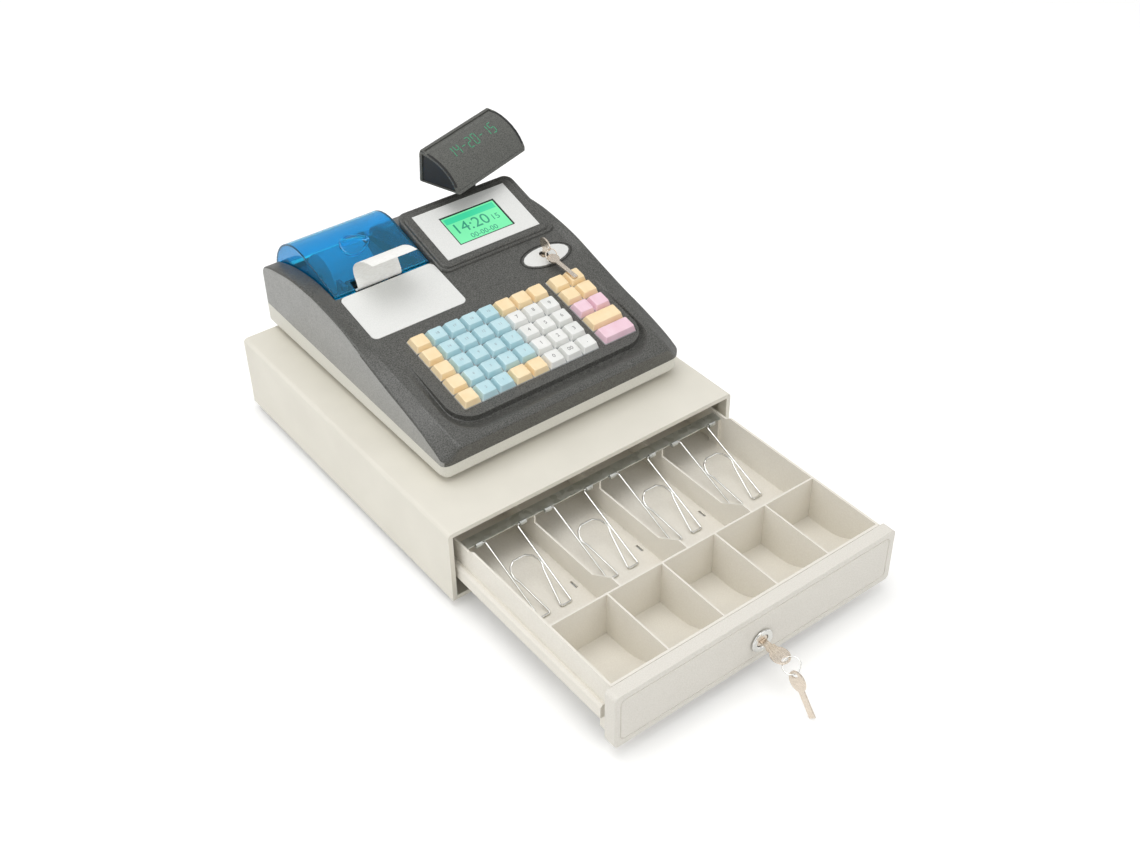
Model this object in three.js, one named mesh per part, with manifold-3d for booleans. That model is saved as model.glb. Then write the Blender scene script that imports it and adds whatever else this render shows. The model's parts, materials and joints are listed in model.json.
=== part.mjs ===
// A counter cash register on a sliding cash drawer, shown with the drawer open.
// Millimetres, +Z up. The front faces -Y, and the floor is z = 0.
import * as THREE from "three";
import { mergeVertices } from "three/addons/utils/BufferGeometryUtils.js";
import Module from "manifold-3d";

const wasm = await Module();
wasm.setup();
const { degToRad, lerp, clamp } = THREE.MathUtils;

// Clearances
const seatGap = 0.3;
const runningGap = 0.35;
const overrun = 6;
const weldOverlap = 0.4;
const mergeTolerance = 1e-4;
const samePointTolerance = 1e-6;
const uprightTolerance = 0.1;

// Cabinet
const cabinetWidth = 333;
const cabinetDepth = 380;
const cabinetHeight = 80.4;
const sheetThickness = 1.2;
const cabinetCornerRadius = 4.5;
const mouthLipWidth = 5;
const mouthLipDepth = 12;
const basePlateThickness = 1.5;
const baseLipHeight = 4.9;
const footHeight = 8.5;
const footRadius = 11;
const footTopShare = 0.9;
const footRoundShare = 0.25;
const footInsetX = 26;
const footInsetY = 18;

// Drawer, measured from the closed front face
const drawerTravel = 224.7;
const drawerFrontSideGap = 6.25;
const drawerFrontWidth = cabinetWidth - 2 * drawerFrontSideGap;
const drawerFrontBottom = 5.5;
const drawerTop = 65.4;
const drawerFrontDepth = 12.7;
const drawerFrontWall = 3;
const drawerFrontRadius = 4.5;
const drawerRearGap = 40;
const drawerBodyLength = cabinetDepth - drawerRearGap;
const trayEndInset = 8.85;
const trayInnerWidth = drawerFrontWidth - 2 * trayEndInset;
const traySideWall = 2.2;
const trayRearWall = 2.2;
const trayBottom = 16.5;
const trayDivider = 1.8;
const trayFloorThickness = 2;
const rearWallDrop = 4;
const rearWallStepStart = 207.7;
const rearWallStepLength = 6.5;

// Coin cups and bill bays
const cupCount = 5;
const cupFrontWall = 2.6;
const cupFloorHeight = 18.5;
const cupArcRadius = 59.5;
const crossWallFace = 95.2;
const bayCount = 4;
const bayFloorHeight = 25;
const dividerFullLength = 11.5;
const dividerSlopeLength = 26.2;
const dividerLowHeight = 49;
const floorSlotLength = 9.5;
const floorSlotWidth = 2.4;
const floorSlotOffset = 4.2;
const floorSlotStart = 149.7;

// Drawer runner flange, rail and corner tab
const flangeReach = 5.2;
const flangeBottom = 24;
const flangeTop = 39;
const flangeBevel = 2.4;
const flangeStart = 20;
const railThickness = 1.5;
const railFrontSetback = 14;
const railRearSetback = 10;
const railTabLength = 16;
const railTabShares = [0, 0.5, 1];
const tabBottom = 6;
const tabStart = 14;
const tabLength = 13;

// Bill clips and the bracket that holds them
const clipPivotY = 219.7;
const clipPivotHeight = 58;
const clipFootY = 138.7;
const clipWireRadius = 1;
const clipOuterHalf = 17.5;
const clipInnerHalf = 5.8;
const clipArchHalf = 15.5;
const clipArchShare = 0.48;
const clipArchRun = 13;
const clipArchOpening = 58;
const clipArchSteps = 5;
const clipBend = 2.2;
const clipEarReach = 26.5;
const earLength = 7;
const earWall = 0.9;
const bracketDepth = 12;
const bracketThickness = 1.2;
const bracketPostWidth = 12;
const bracketLedge = 3.2;

// Rear latch
const strikeHalfWidth = 8;
const strikeReach = 10;
const strikeThickness = 2;
const strikeLipHeight = 8;
const strikeHeight = 17;
const hookArmWidth = 5;
const hookPivotRearGap = 17;
const hookPivotHeight = 36;
const hookThickness = 6;
const hookNoseDepth = 3;
const hookReleaseAngle = 18;
const hookPinRadius = 2;
const solenoidWidth = 30;
const solenoidHeight = 12;
const solenoidDepth = 22;
const solenoidEar = 3;

// Drawer lock and its keys
const lockHeight = 29.5;
const lockFlangeRadius = 12;
const lockFlangeReach = 3;
const lockBodyRadius = 8;
const lockPlugRadius = 6;
const lockLength = 12;
const lockRearWall = 1.5;
const lockPlugSetback = 1.5;
const keyThickness = 1.6;
const keyBladeWidth = 6.5;
const keyBladeLength = 24;
const keySlotGap = 0.35;
const keyInsertDepth = 9;
const keyBowLength = 20;
const keyBowWidth = 17;
const keyBowGap = 10.5;
const keyNeckWidth = 9.5;
const keyNeckShare = 0.12;
const keyHoleWidth = 7.6;
const keyHoleHeight = 4.4;
const keyHoleInset = 4.4;
const keyRollAngle = 4;
const ringRadius = 8;
const ringWireRadius = 0.6;
const ringTwistAngle = 24;
const ringDropAngle = 8;
const spareRingAngle = -150;
const spareLeanAngle = 38.316;
const spareTurnAngle = -45;
const spareRimGap = 0.55;

// Register case, measured from the front of its parting line on the cabinet top
const registerOffsetX = 8.55;
const registerOffsetY = 57;
const registerWidth = 280;
const registerDepth = 334;
const registerCornerRadius = 10;
const caseWall = 2.5;
const keyboardWall = 8;
const partingFront = 20;
const partingRear = 29.5;
const lipHeight = 39.5;
const lipLean = 4;
const deckTilt = 12.5;
const deckArchStart = 195;
const deckEndShare = 0.964;
const deckEndHeight = 73.5;
const creaseRise = 89;
const rimFrontBand = 16.6;
const rimRearBand = 12;
const rimFrontHalf = registerWidth / 2 - rimFrontBand;
const rimRearHalf = registerWidth / 2 - rimRearBand;
const rimSettle = 165;
const rearLowHeight = 48;
const baseGroundGap = 3.7;
const baseInset = 4;
const baseBandHeight = 5;
const baseFloor = 2.5;
const baseFootRadius = 7;
const baseFootInset = 26;

// Keyboard panel, keys and board
const keyPitchX = 19.7;
const keyPitchY = 20.2;
const keyColumns = 8;
const keyRows = 5;
const keyboardLeft = -84;
const keyboardFront = 45.2;
const sideBlockGap = 6.9;
const capBase = 18.2;
const capTopWidth = 14.2;
const capTopDepth = 13.5;
const capSkirt = 2.5;
const capHeight = 7.5;
const capSink = 1.5;
const wellDepth = 5;
const wellMargin = 0.8;
const stemSize = 7.4;
const stemGap = 0.25;
const stemLength = 10;
const boardThickness = 1.6;
const boardDrop = 13.3;
const boardMargin = 9;
const boardMarginRight = 4.5;
const boardPostRadius = 2.5;
const webThickness = 1;
const webWidth = 6;
const coveOuterLeft = 116;
const coveOuterRight = 119.5;
const covePanelLeft = 107.5;
const covePanelRight = 116.5;
const coveOuterFront = 7.5;
const covePanelFront = 24;
const coveDepth = 4.5;
const coveEnd = 118;
const coveOuterRadius = 33;
const covePanelRadius = 25;

// Display panel on the case
const lcdTilt = 16.5;
const lcdCentreX = 57.05;
const lcdCentreY = 226.4;
const lcdCentreHeight = 99.8;
const lcdPlateWidth = 113.5;
const lcdPlateDepth = 67.6;
const lcdPlateThickness = 1;
const lcdWindowWidth = 67.7;
const lcdWindowDepth = 41.3;
const lcdWindowShiftX = 0.35;
const lcdWindowShiftY = -1;
const lcdScreenMargin = 4;
const lcdScreenThickness = 2;
const humpLeft = -12;
const humpRight = 130;
const humpFront = 186;
const humpRear = 272;
const humpRadius = 10;
const humpDrop = 3;
const humpWall = 6.5;
const panelLeft = -9.6;
const panelRight = 122.6;
const panelFront = 187.5;
const panelRear = 264;
const panelRadius = 8;

// Mode lock
const modeX = 94.6;
const modeY = 161.7;
const modePlateX = 96;
const modePlateY = 159.5;
const modePlateLength = 54;
const modePlateDepth = 25;
const modePlateThickness = 0.9;
const modeGrooveInner = 4;
const modeGrooveOuter = 7;
const modeGrooveDepth = 1.5;
const plateRecess = 0.7;
const modeHoleRadius = 5;
const modePlugDrop = 2.5;
const modePlugLength = 14;
const modeBossWall = 2;
const modeKeyRise = 13.5;
const modeBowWidth = 17;
const modeBowHeight = 14;
const modeKeyBlade = 5;
const modeKeyThickness = 1.6;
const modeHoleSize = 2.2;
const modeRingRadius = 6.5;
const modeRingDrop = 42;
const modeSpareX = 93.8;
const modeSpareY = 153.4;
const modeSpareLift = 7.8;
const modeSpareBow = 6.4;
const modeSpareLength = 33.8;
const modeSpareSplay = 3.5;

// Printer
const bayLeft = -122;
const bayRight = -12;
const bayFront = 208;
const bayRear = 331;
const coverSideGap = 1.3;
const coverWall = 2;
const coverArcY = 283;
const coverArcHeight = 56;
const coverArcRadius = 51;
const coverFrontY = 209.5;
const coverFrontHeight = 87.6;
const coverRearY = 333;
const coverRearHeight = 62;
const coverRearLean = 3;
const coverFrontSkirt = 3;
const coverFrontFlat = 6;
const coverFrontRise = 1.5;
const coverArcStart = 112;
const coverHingeY = 326;
const coverHingeRadius = 2;
const coverHingeLift = 4;
const coverHingeEar = 5;
const paperNotchLeft = -98;
const paperNotchRight = -44;
const paperNotchDepth = 13;
const printerPlateLeft = -118.5;
const printerPlateRight = -11.5;
const printerPlateFront = 144;
const printerPlateRear = 206.5;
const printerPlateRadius = 6;
const plateThickness = 0.9;
const rollRadius = 28;
const rollCoreRadius = 6;
const rollY = 283;
const rollHeight = 60;
const paperLeft = -96;
const paperRight = -45.8;
const paperThickness = 0.5;
const paperReach = 30;
const paperWrapStart = 261;
const paperWrapEnd = 189;
const paperSteps = 28;
const cradleGap = 2;
const frameSideInset = 4;
const frameBottom = 20;
const frameTop = 58;
const frameWall = 2.5;
const frameChannelStep = 2;
const platenY = 230;
const platenHeight = 79;
const platenRadius = 5.5;
const platenShaftRadius = 2.5;
const platenCheek = 4;
const bearingWall = 1.5;
const frameLegSize = 12;
const hingeCap = 0.45;
const hingeHeadReach = 3;
const hingeLegDepth = 6;
const hingeRelief = 4;

// Customer display, its position on the register and its yaw at rest
const displayX = 84.8;
const displayY = 286.4;
const displayTop = 167.6;
const displayLength = 115.7;
const displayYaw = 18;
const displayHeight = 36.7;
const displayForward = 47.8;
const displayBackLean = 2.3;
const displayBowShares = [0.78, 0.16];
const displayEndRecess = 1.2;
const lensSeatOver = 1;
const displayWall = 2.4;
const displayLensWall = 1.6;
const displayEndRim = 3;
const displayAxisShare = 0.49;
const displayAxisForward = 10.6;
const neckRadius = 11;
const neckFlangeRadius = 13.5;
const neckFlangeThickness = 3;
const neckPinRadius = 6;
const neckPinLength = 9;
const neckTenonRadius = 9;
const neckTenonLength = 12;

// Colours taken from the photograph, as three.js materials
const finish = (color, roughness, metalness) =>
  new THREE.MeshStandardMaterial({ color, roughness, metalness });
const cabinetPaint = finish(0xe6e2d6, 0.55, 0);
const trayPlastic = finish(0xdcd7d2, 0.6, 0);
const casePlastic = finish(0x55564f, 0.75, 0);
const basePlastic = finish(0xe4e2da, 0.6, 0);
const blackRubber = finish(0x151515, 0.9, 0);
const zincSteel = finish(0xb9bbb8, 0.4, 0.9);
const chromeSteel = finish(0xd8d8d4, 0.2, 1);
const nickelSteel = finish(0xcfcabb, 0.3, 1);
const silverPlate = finish(0xd9dbda, 0.5, 0.3);
const lcdGlass = finish(0x7ff2a6, 0.2, 0);
const blueCover = finish(0x1478d8, 0.15, 0);
const paperWhite = finish(0xf6f6f2, 0.9, 0);
const blackPlastic = finish(0x1c1c1b, 0.7, 0);
const lensPlastic = finish(0x4a4c48, 0.2, 0);
const boardGreen = finish(0x1f6b45, 0.6, 0);
const beigeCap = finish(0xfbe3ae, 0.35, 0);
const blueCap = finish(0xbfe3ea, 0.35, 0);
const whiteCap = finish(0xececea, 0.35, 0);
const pinkCap = finish(0xf0ccd6, 0.35, 0);

// Closed three.js geometry as a solid, and back
function solidOf(shape) {
  if (!shape.isBufferGeometry) {
    return shape;
  }
  const plain = shape.index ? shape.toNonIndexed() : shape.clone();
  plain.deleteAttribute("normal");
  plain.deleteAttribute("uv");
  const merged = mergeVertices(plain, mergeTolerance);
  const solid = new wasm.Manifold(
    new wasm.Mesh({
      numProp: 3,
      vertProperties: new Float32Array(merged.attributes.position.array),
      triVerts: new Uint32Array(merged.index.array),
    }),
  );
  return solid;
}

function geometryOf(shape) {
  if (shape.isBufferGeometry) {
    return shape;
  }
  const mesh = shape.getMesh();
  const geometry = new THREE.BufferGeometry();
  geometry.setAttribute("position", new THREE.BufferAttribute(mesh.vertProperties, mesh.numProp));
  geometry.setIndex(new THREE.BufferAttribute(mesh.triVerts, 1));
  const flat = geometry.toNonIndexed();
  flat.computeVertexNormals();
  return flat;
}

const join = (...shapes) => shapes.map(solidOf).reduce((whole, shape) => whole.add(shape));
const cut = (whole, ...tools) =>
  tools.map(solidOf).reduce((rest, tool) => rest.subtract(tool), solidOf(whole));
const common = (first, second) => solidOf(first).intersect(solidOf(second));

function block(x0, x1, y0, y1, z0, z1) {
  const geometry = new THREE.BoxGeometry(x1 - x0, y1 - y0, z1 - z0);
  return geometry.translate((x0 + x1) / 2, (y0 + y1) / 2, (z0 + z1) / 2);
}

// A cylinder whose axis runs along X, Y or Z from one end to the other
function rod(axis, radius, from, to, a, b, sides = 20) {
  const geometry = new THREE.CylinderGeometry(radius, radius, to - from, sides);
  const middle = (from + to) / 2;
  if (axis === "x") {
    return geometry.rotateZ(Math.PI / 2).translate(middle, a, b);
  }
  if (axis === "y") {
    return geometry.translate(a, middle, b);
  }
  return geometry.rotateX(Math.PI / 2).translate(a, b, middle);
}

function outline(points) {
  return new THREE.Shape(points.map(([a, b]) => new THREE.Vector2(a, b)));
}

function roundedOutline(x0, x1, y0, y1, radius) {
  const quarter = Math.PI / 2;
  const shape = new THREE.Shape();
  shape.moveTo(x0 + radius, y0);
  shape.lineTo(x1 - radius, y0);
  shape.absarc(x1 - radius, y0 + radius, radius, -quarter, 0);
  shape.lineTo(x1, y1 - radius);
  shape.absarc(x1 - radius, y1 - radius, radius, 0, quarter);
  shape.lineTo(x0 + radius, y1);
  shape.absarc(x0 + radius, y1 - radius, radius, quarter, 2 * quarter);
  shape.lineTo(x0, y0 + radius);
  shape.absarc(x0 + radius, y0 + radius, radius, 2 * quarter, 3 * quarter);
  return shape;
}

function ellipseOutline(x, y, halfX, halfY) {
  const shape = new THREE.Shape();
  shape.absellipse(x, y, halfX, halfY, 0, 2 * Math.PI);
  return shape;
}

function plate(shape, z0, z1, curveSegments = 6) {
  const settings = { depth: z1 - z0, bevelEnabled: false, curveSegments };
  return new THREE.ExtrudeGeometry(shape, settings).translate(0, 0, z0);
}

// An outline in (x, z) carried along Y, and one in (y, z) carried along X
function alongY(shape, y0, y1, curveSegments = 6) {
  return plate(shape, -y1, -y0, curveSegments).rotateX(Math.PI / 2);
}

function alongX(shape, x0, x1, curveSegments = 6) {
  const turn = new THREE.Matrix4().makeBasis(
    new THREE.Vector3(0, 1, 0),
    new THREE.Vector3(0, 0, 1),
    new THREE.Vector3(1, 0, 0),
  );
  return plate(shape, x0, x1, curveSegments).applyMatrix4(turn);
}

// Skin over rings of points, each ring counter-clockwise seen from the last ring
function loft(rings) {
  const count = rings[0].length;
  const positions = rings.flat(2);
  const faces = [];
  for (let ring = 0; ring + 1 < rings.length; ring += 1) {
    for (let i = 0; i < count; i += 1) {
      const j = (i + 1) % count;
      const a = ring * count + i;
      const b = ring * count + j;
      faces.push(a, b, b + count, a, b + count, a + count);
    }
  }
  const last = (rings.length - 1) * count;
  for (let i = 1; i + 1 < count; i += 1) {
    faces.push(0, i + 1, i);
    faces.push(last, last + i, last + i + 1);
  }
  const geometry = new THREE.BufferGeometry();
  geometry.setAttribute("position", new THREE.Float32BufferAttribute(positions, 3));
  geometry.setIndex(faces);
  return geometry;
}

// Points along straight stretches whose corners are rounded off
function bentPath(points, bend) {
  const samples = [points[0]];
  for (let i = 1; i + 1 < points.length; i += 1) {
    const before = points[i - 1].clone().sub(points[i]);
    const after = points[i + 1].clone().sub(points[i]);
    const reach = Math.min(bend, before.length() / 2, after.length() / 2);
    const start = points[i].clone().addScaledVector(before.normalize(), reach);
    const end = points[i].clone().addScaledVector(after.normalize(), reach);
    const corner = new THREE.QuadraticBezierCurve3(start, points[i].clone(), end);
    samples.push(...corner.getPoints(2));
  }
  samples.push(points[points.length - 1]);
  return samples;
}

function roundSection(radius, sides) {
  return outline(arcPoints(0, 0, radius, 0, 2 * Math.PI, sides).slice(0, -1));
}

// A small section carried along points, with the section's frame carried on smoothly
function sweep(section, samples) {
  const ring = section.getPoints();
  if (ring[0].distanceTo(ring[ring.length - 1]) < samePointTolerance) {
    ring.pop();
  }
  const kept = samples.filter((p, i) => i === 0 || p.distanceTo(samples[i - 1]) > samePointTolerance);
  const tangents = kept.map((_, i) => {
    const ahead = kept[Math.min(i + 1, kept.length - 1)].clone();
    return ahead.sub(kept[Math.max(i - 1, 0)]).normalize();
  });
  const up = new THREE.Vector3(0, 0, 1);
  let side = new THREE.Vector3().crossVectors(up, tangents[0]);
  if (side.length() < uprightTolerance) {
    side = new THREE.Vector3(1, 0, 0);
  }
  side.normalize();
  const rings = kept.map((point, i) => {
    side.addScaledVector(tangents[i], -side.dot(tangents[i])).normalize();
    const normal = new THREE.Vector3().crossVectors(tangents[i], side);
    return ring.map((v) => {
      const p = point.clone().addScaledVector(side, v.x).addScaledVector(normal, v.y);
      return [p.x, p.y, p.z];
    });
  });
  return loft(rings);
}

function named(name, shape, material) {
  const mesh = new THREE.Mesh(geometryOf(shape), material);
  mesh.name = name;
  return mesh;
}

function groupAt(x, y, z, ...children) {
  const group = new THREE.Group();
  group.position.set(x, y, z);
  children.forEach((child) => group.add(child));
  return group;
}

// Cabinet

const cabinetHalf = cabinetWidth / 2;
const mouthHalf = cabinetHalf - mouthLipWidth;
const mouthTop = cabinetHeight - mouthLipWidth;
const innerHalf = cabinetHalf - sheetThickness;
const cabinetInnerRear = cabinetDepth - sheetThickness;

function cabinetShell() {
  const section = roundedOutline(
    -cabinetHalf,
    cabinetHalf,
    -cabinetCornerRadius,
    cabinetHeight,
    cabinetCornerRadius,
  );
  const body = cut(
    alongY(section, 0, cabinetDepth, 3),
    block(-cabinetWidth, cabinetWidth, -overrun, cabinetDepth + overrun, -cabinetHeight, 0),
  );
  const room = roundedOutline(
    -innerHalf,
    innerHalf,
    -cabinetCornerRadius,
    cabinetHeight - sheetThickness,
    cabinetCornerRadius - sheetThickness,
  );
  const hollow = alongY(room, mouthLipDepth, cabinetInnerRear, 3);
  const mouth = block(-mouthHalf, mouthHalf, -overrun, mouthLipDepth + overrun, -overrun, mouthTop);
  return cut(body, hollow, mouth);
}

function cabinetBase() {
  const halfWidth = mouthHalf - seatGap;
  const rear = cabinetInnerRear - seatGap;
  const pan = block(-halfWidth, halfWidth, 0, rear, 0, basePlateThickness);
  const lip = block(-halfWidth, halfWidth, 0, basePlateThickness, 0, baseLipHeight);
  return join(pan, lip);
}

function foot() {
  const profile = [
    [0, 0],
    [footRadius - seatGap, 0],
    [footRadius, footHeight * footRoundShare],
    [footRadius * footTopShare, footHeight - seatGap],
    [0, footHeight - seatGap],
  ].map(([r, z]) => new THREE.Vector2(r, z));
  return new THREE.LatheGeometry(profile, 14).rotateX(Math.PI / 2);
}

// Tray

const trayInnerHalf = trayInnerWidth / 2;
const trayHalf = trayInnerHalf + traySideWall;
const trayFront = drawerFrontDepth + seatGap;
const trayInnerRear = drawerBodyLength - trayRearWall;
const cupWidth = (trayInnerWidth - (cupCount - 1) * trayDivider) / cupCount;
const bayWidth = (trayInnerWidth - (bayCount - 1) * trayDivider) / bayCount;
const crossWallRear = crossWallFace + trayDivider;
const cupFrontY = trayFront + cupFrontWall;
const cupArcRise = cupArcRadius - (drawerTop - cupFloorHeight);
const cupArcY = cupFrontY + Math.sqrt(cupArcRadius ** 2 - cupArcRise ** 2);
const cupArcHeight = cupFloorHeight + cupArcRadius;

function arcPoints(centreA, centreB, radius, from, to, steps) {
  return Array.from({ length: steps + 1 }, (_, i) => {
    const angle = lerp(from, to, i / steps);
    return [centreA + radius * Math.cos(angle), centreB + radius * Math.sin(angle)];
  });
}

function coinCups() {
  const top = drawerTop + overrun;
  const startAngle = Math.PI + Math.asin((cupArcHeight - drawerTop) / cupArcRadius);
  const curve = arcPoints(cupArcY, cupArcHeight, cupArcRadius, startAngle, 1.5 * Math.PI, 8);
  const section = outline([
    [cupFrontY, top],
    ...curve,
    [crossWallFace, cupFloorHeight],
    [crossWallFace, top],
  ]);
  return Array.from({ length: cupCount }, (_, i) => {
    const left = -trayInnerHalf + i * (cupWidth + trayDivider);
    return alongX(section, left, left + cupWidth);
  });
}

function bayLeftX(index) {
  return -trayInnerHalf + index * (bayWidth + trayDivider);
}

function billBays() {
  const top = drawerTop + overrun;
  return Array.from({ length: bayCount }, (_, i) =>
    block(
      bayLeftX(i),
      bayLeftX(i) + bayWidth,
      crossWallRear,
      trayInnerRear,
      bayFloorHeight,
      top,
    ),
  );
}

// The dividers stand full height at the cross wall, fall to a low wall, and rise to carry the bracket
function dividerCut() {
  const full = crossWallRear + dividerFullLength;
  const postStart = clipPivotY + earWall;
  const postEnd = postStart + bracketPostWidth;
  const postTop = clipPivotHeight - seatGap - bracketThickness / 2;
  const top = drawerTop + overrun;
  const section = outline([
    [full, top],
    [full, drawerTop],
    [full + dividerSlopeLength, dividerLowHeight],
    [postStart, dividerLowHeight],
    [postStart, postTop],
    [postEnd, postTop],
    [postEnd, dividerLowHeight],
    [trayInnerRear, dividerLowHeight],
    [trayInnerRear, top],
  ]);
  return alongX(section, -trayInnerHalf, trayInnerHalf);
}

function trayUnderside() {
  const half = trayHalf - traySideWall;
  const outer = cupArcRadius + trayFloorThickness;
  const frontWall = trayFront + cupFrontWall;
  const startAngle = Math.PI + Math.acos((cupArcY - frontWall) / outer);
  const curve = arcPoints(cupArcY, cupArcHeight, outer, startAngle, 1.5 * Math.PI, 8);
  const front = outline([[frontWall, -overrun], ...curve, [cupArcY, -overrun]]);
  const bay = block(
    -half,
    half,
    crossWallRear,
    trayInnerRear,
    -overrun,
    bayFloorHeight - trayFloorThickness,
  );
  return [alongX(front, -half, half), bay];
}

function floorSlots() {
  return Array.from({ length: bayCount - 1 }, (_, i) => {
    const x = bayLeftX(i + 1) - trayDivider - floorSlotOffset;
    return block(
      x - floorSlotWidth,
      x,
      floorSlotStart,
      floorSlotStart + floorSlotLength,
      -overrun,
      bayFloorHeight + overrun,
    );
  });
}

function drawerBody() {
  const whole = block(-trayHalf, trayHalf, trayFront, drawerBodyLength, trayBottom, drawerTop);
  const stepEnd = rearWallStepStart + rearWallStepLength;
  const low = drawerTop - rearWallDrop;
  const sideStep = outline([
    [rearWallStepStart, drawerTop + overrun],
    [rearWallStepStart, drawerTop],
    [stepEnd, low],
    [drawerBodyLength + overrun, low],
    [drawerBodyLength + overrun, drawerTop + overrun],
  ]);
  const tray = cut(
    whole,
    ...coinCups(),
    ...billBays(),
    dividerCut(),
    ...trayUnderside(),
    ...floorSlots(),
    alongX(sideStep, -cabinetWidth, cabinetWidth),
  );
  const root = trayHalf - weldOverlap;
  const reach = trayHalf + flangeReach;
  const flange = outline([
    [root, flangeBottom],
    [reach, flangeBottom],
    [reach, flangeTop - flangeBevel],
    [reach - flangeBevel, flangeTop],
    [root, flangeTop],
  ]);
  const right = alongY(flange, flangeStart, drawerBodyLength);
  const mirrored = outline([
    [-root, flangeBottom],
    [-root, flangeTop],
    [flangeBevel - reach, flangeTop],
    [-reach, flangeTop - flangeBevel],
    [-reach, flangeBottom],
  ]);
  const left = alongY(mirrored, flangeStart, drawerBodyLength);
  const tabTop = trayBottom + weldOverlap;
  const tabEnd = tabStart + tabLength;
  const tabs = [-1, 1].map((side) => {
    const inner = side * trayInnerHalf;
    const outer = side * trayHalf;
    return block(Math.min(inner, outer), Math.max(inner, outer), tabStart, tabEnd, tabBottom, tabTop);
  });
  const ledges = [-1, 1].map((side) => {
    const inner = side * (trayInnerHalf - bracketLedge);
    const outer = side * (trayInnerHalf + weldOverlap);
    const postStart = clipPivotY + earWall;
    return block(
      Math.min(inner, outer),
      Math.max(inner, outer),
      postStart,
      postStart + bracketPostWidth,
      bayFloorHeight - weldOverlap,
      clipPivotHeight - seatGap - bracketThickness / 2,
    );
  });
  const strikeEnd = drawerBodyLength + strikeReach;
  const tongue = block(
    -strikeHalfWidth,
    strikeHalfWidth,
    drawerBodyLength - weldOverlap,
    strikeEnd,
    strikeHeight,
    strikeHeight + strikeThickness,
  );
  const strikeLip = block(
    -strikeHalfWidth,
    strikeHalfWidth,
    strikeEnd - strikeThickness,
    strikeEnd,
    strikeHeight,
    strikeHeight + strikeLipHeight,
  );
  return join(tray, right, left, ...tabs, ...ledges, tongue, strikeLip);
}

function drawerFront() {
  const half = drawerFrontWidth / 2;
  const outer = roundedOutline(-half, half, drawerFrontBottom, drawerTop, drawerFrontRadius);
  const pocket = block(
    drawerFrontWall - half,
    half - drawerFrontWall,
    drawerFrontWall,
    drawerFrontDepth + overrun,
    drawerFrontBottom + drawerFrontWall,
    drawerTop - drawerFrontWall,
  );
  const hole = rod("y", lockBodyRadius + seatGap, -overrun, drawerFrontDepth, 0, lockHeight);
  return cut(alongY(outer, 0, drawerFrontDepth, 4), pocket, hole);
}

// Rails round the tray's flanges, with tabs that reach the cabinet's side walls

function rail(side) {
  const reach = trayHalf + flangeReach + runningGap;
  const back = reach + railThickness;
  const lipX = trayHalf + runningGap;
  const bottom = flangeBottom - runningGap;
  const top = flangeTop + runningGap;
  const section = outline([
    [lipX, bottom - railThickness],
    [back, bottom - railThickness],
    [back, top + railThickness],
    [lipX, top + railThickness],
    [lipX, top],
    [reach, top],
    [reach, bottom],
    [lipX, bottom],
  ]);
  const start = railFrontSetback;
  const end = cabinetInnerRear - railRearSetback;
  const channel = alongY(section, start, end);
  const wall = innerHalf - seatGap;
  const tabs = railTabShares.map((share) => {
    const y = lerp(start, end - railTabLength, share);
    return block(back - weldOverlap, wall, y, y + railTabLength, bottom, top);
  });
  const whole = geometryOf(join(channel, ...tabs));
  return side > 0 ? whole : mirroredX(whole);
}

function mirroredX(geometry) {
  const flipped = geometry.clone().scale(-1, 1, 1);
  const array = flipped.attributes.position.array;
  for (let i = 0; i < array.length; i += 9) {
    for (let k = 0; k < 3; k += 1) {
      const kept = array[i + 3 + k];
      array[i + 3 + k] = array[i + 6 + k];
      array[i + 6 + k] = kept;
    }
  }
  flipped.computeVertexNormals();
  return flipped;
}

// Latch: the hook is shown released, turned up from the place where it holds the strike

const strikeFaceY = drawerBodyLength + strikeReach - strikeThickness;
const hookPivotY = cabinetInnerRear - hookPivotRearGap;
const hookNoseBottom = strikeHeight + strikeThickness + seatGap;

function latchHook() {
  const noseRear = strikeFaceY - seatGap;
  const armBottom = strikeHeight + strikeLipHeight + 2 * seatGap;
  const half = hookArmWidth / 2;
  const side = outline([
    [noseRear - hookNoseDepth, hookNoseBottom],
    [noseRear, hookNoseBottom],
    [noseRear, armBottom],
    [hookPivotY + hookThickness / 2, hookPivotHeight - hookThickness],
    [hookPivotY + hookThickness / 2, hookPivotHeight + hookThickness / 2],
    [hookPivotY - hookThickness / 2, hookPivotHeight + hookThickness / 2],
    [noseRear - hookNoseDepth, armBottom + hookThickness],
  ]);
  const arm = cut(
    alongX(side, -half, half),
    rod("x", hookPinRadius + seatGap, -solenoidWidth, solenoidWidth, hookPivotY, hookPivotHeight),
  );
  const geometry = geometryOf(arm);
  return geometry.translate(0, -hookPivotY, -hookPivotHeight);
}

function latchSolenoid() {
  const half = solenoidWidth / 2;
  const floor = basePlateThickness + seatGap;
  const rear = cabinetInnerRear - seatGap;
  const front = rear - solenoidDepth;
  const body = block(-half, half, front, rear, floor, floor + solenoidHeight);
  const earInner = hookArmWidth / 2 + seatGap;
  const ears = [-1, 1].map((side) => {
    const a = side * earInner;
    const b = side * (earInner + solenoidEar);
    return block(
      Math.min(a, b),
      Math.max(a, b),
      hookPivotY - hookThickness,
      rear,
      floor,
      hookPivotHeight + hookThickness,
    );
  });
  const pinHalf = earInner + solenoidEar;
  const pin = rod("x", hookPinRadius, -pinHalf, pinHalf, hookPivotY, hookPivotHeight, 12);
  return join(body, ...ears, pin);
}

// Bill clips, made about their pivot line and set down into each bay

const clipFall = clipPivotHeight - (bayFloorHeight + seatGap + clipWireRadius);
const clipRun = clipPivotY - clipFootY;

function clipPoint(x, share) {
  return new THREE.Vector3(x, -clipRun * share, -clipFall * share);
}

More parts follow.
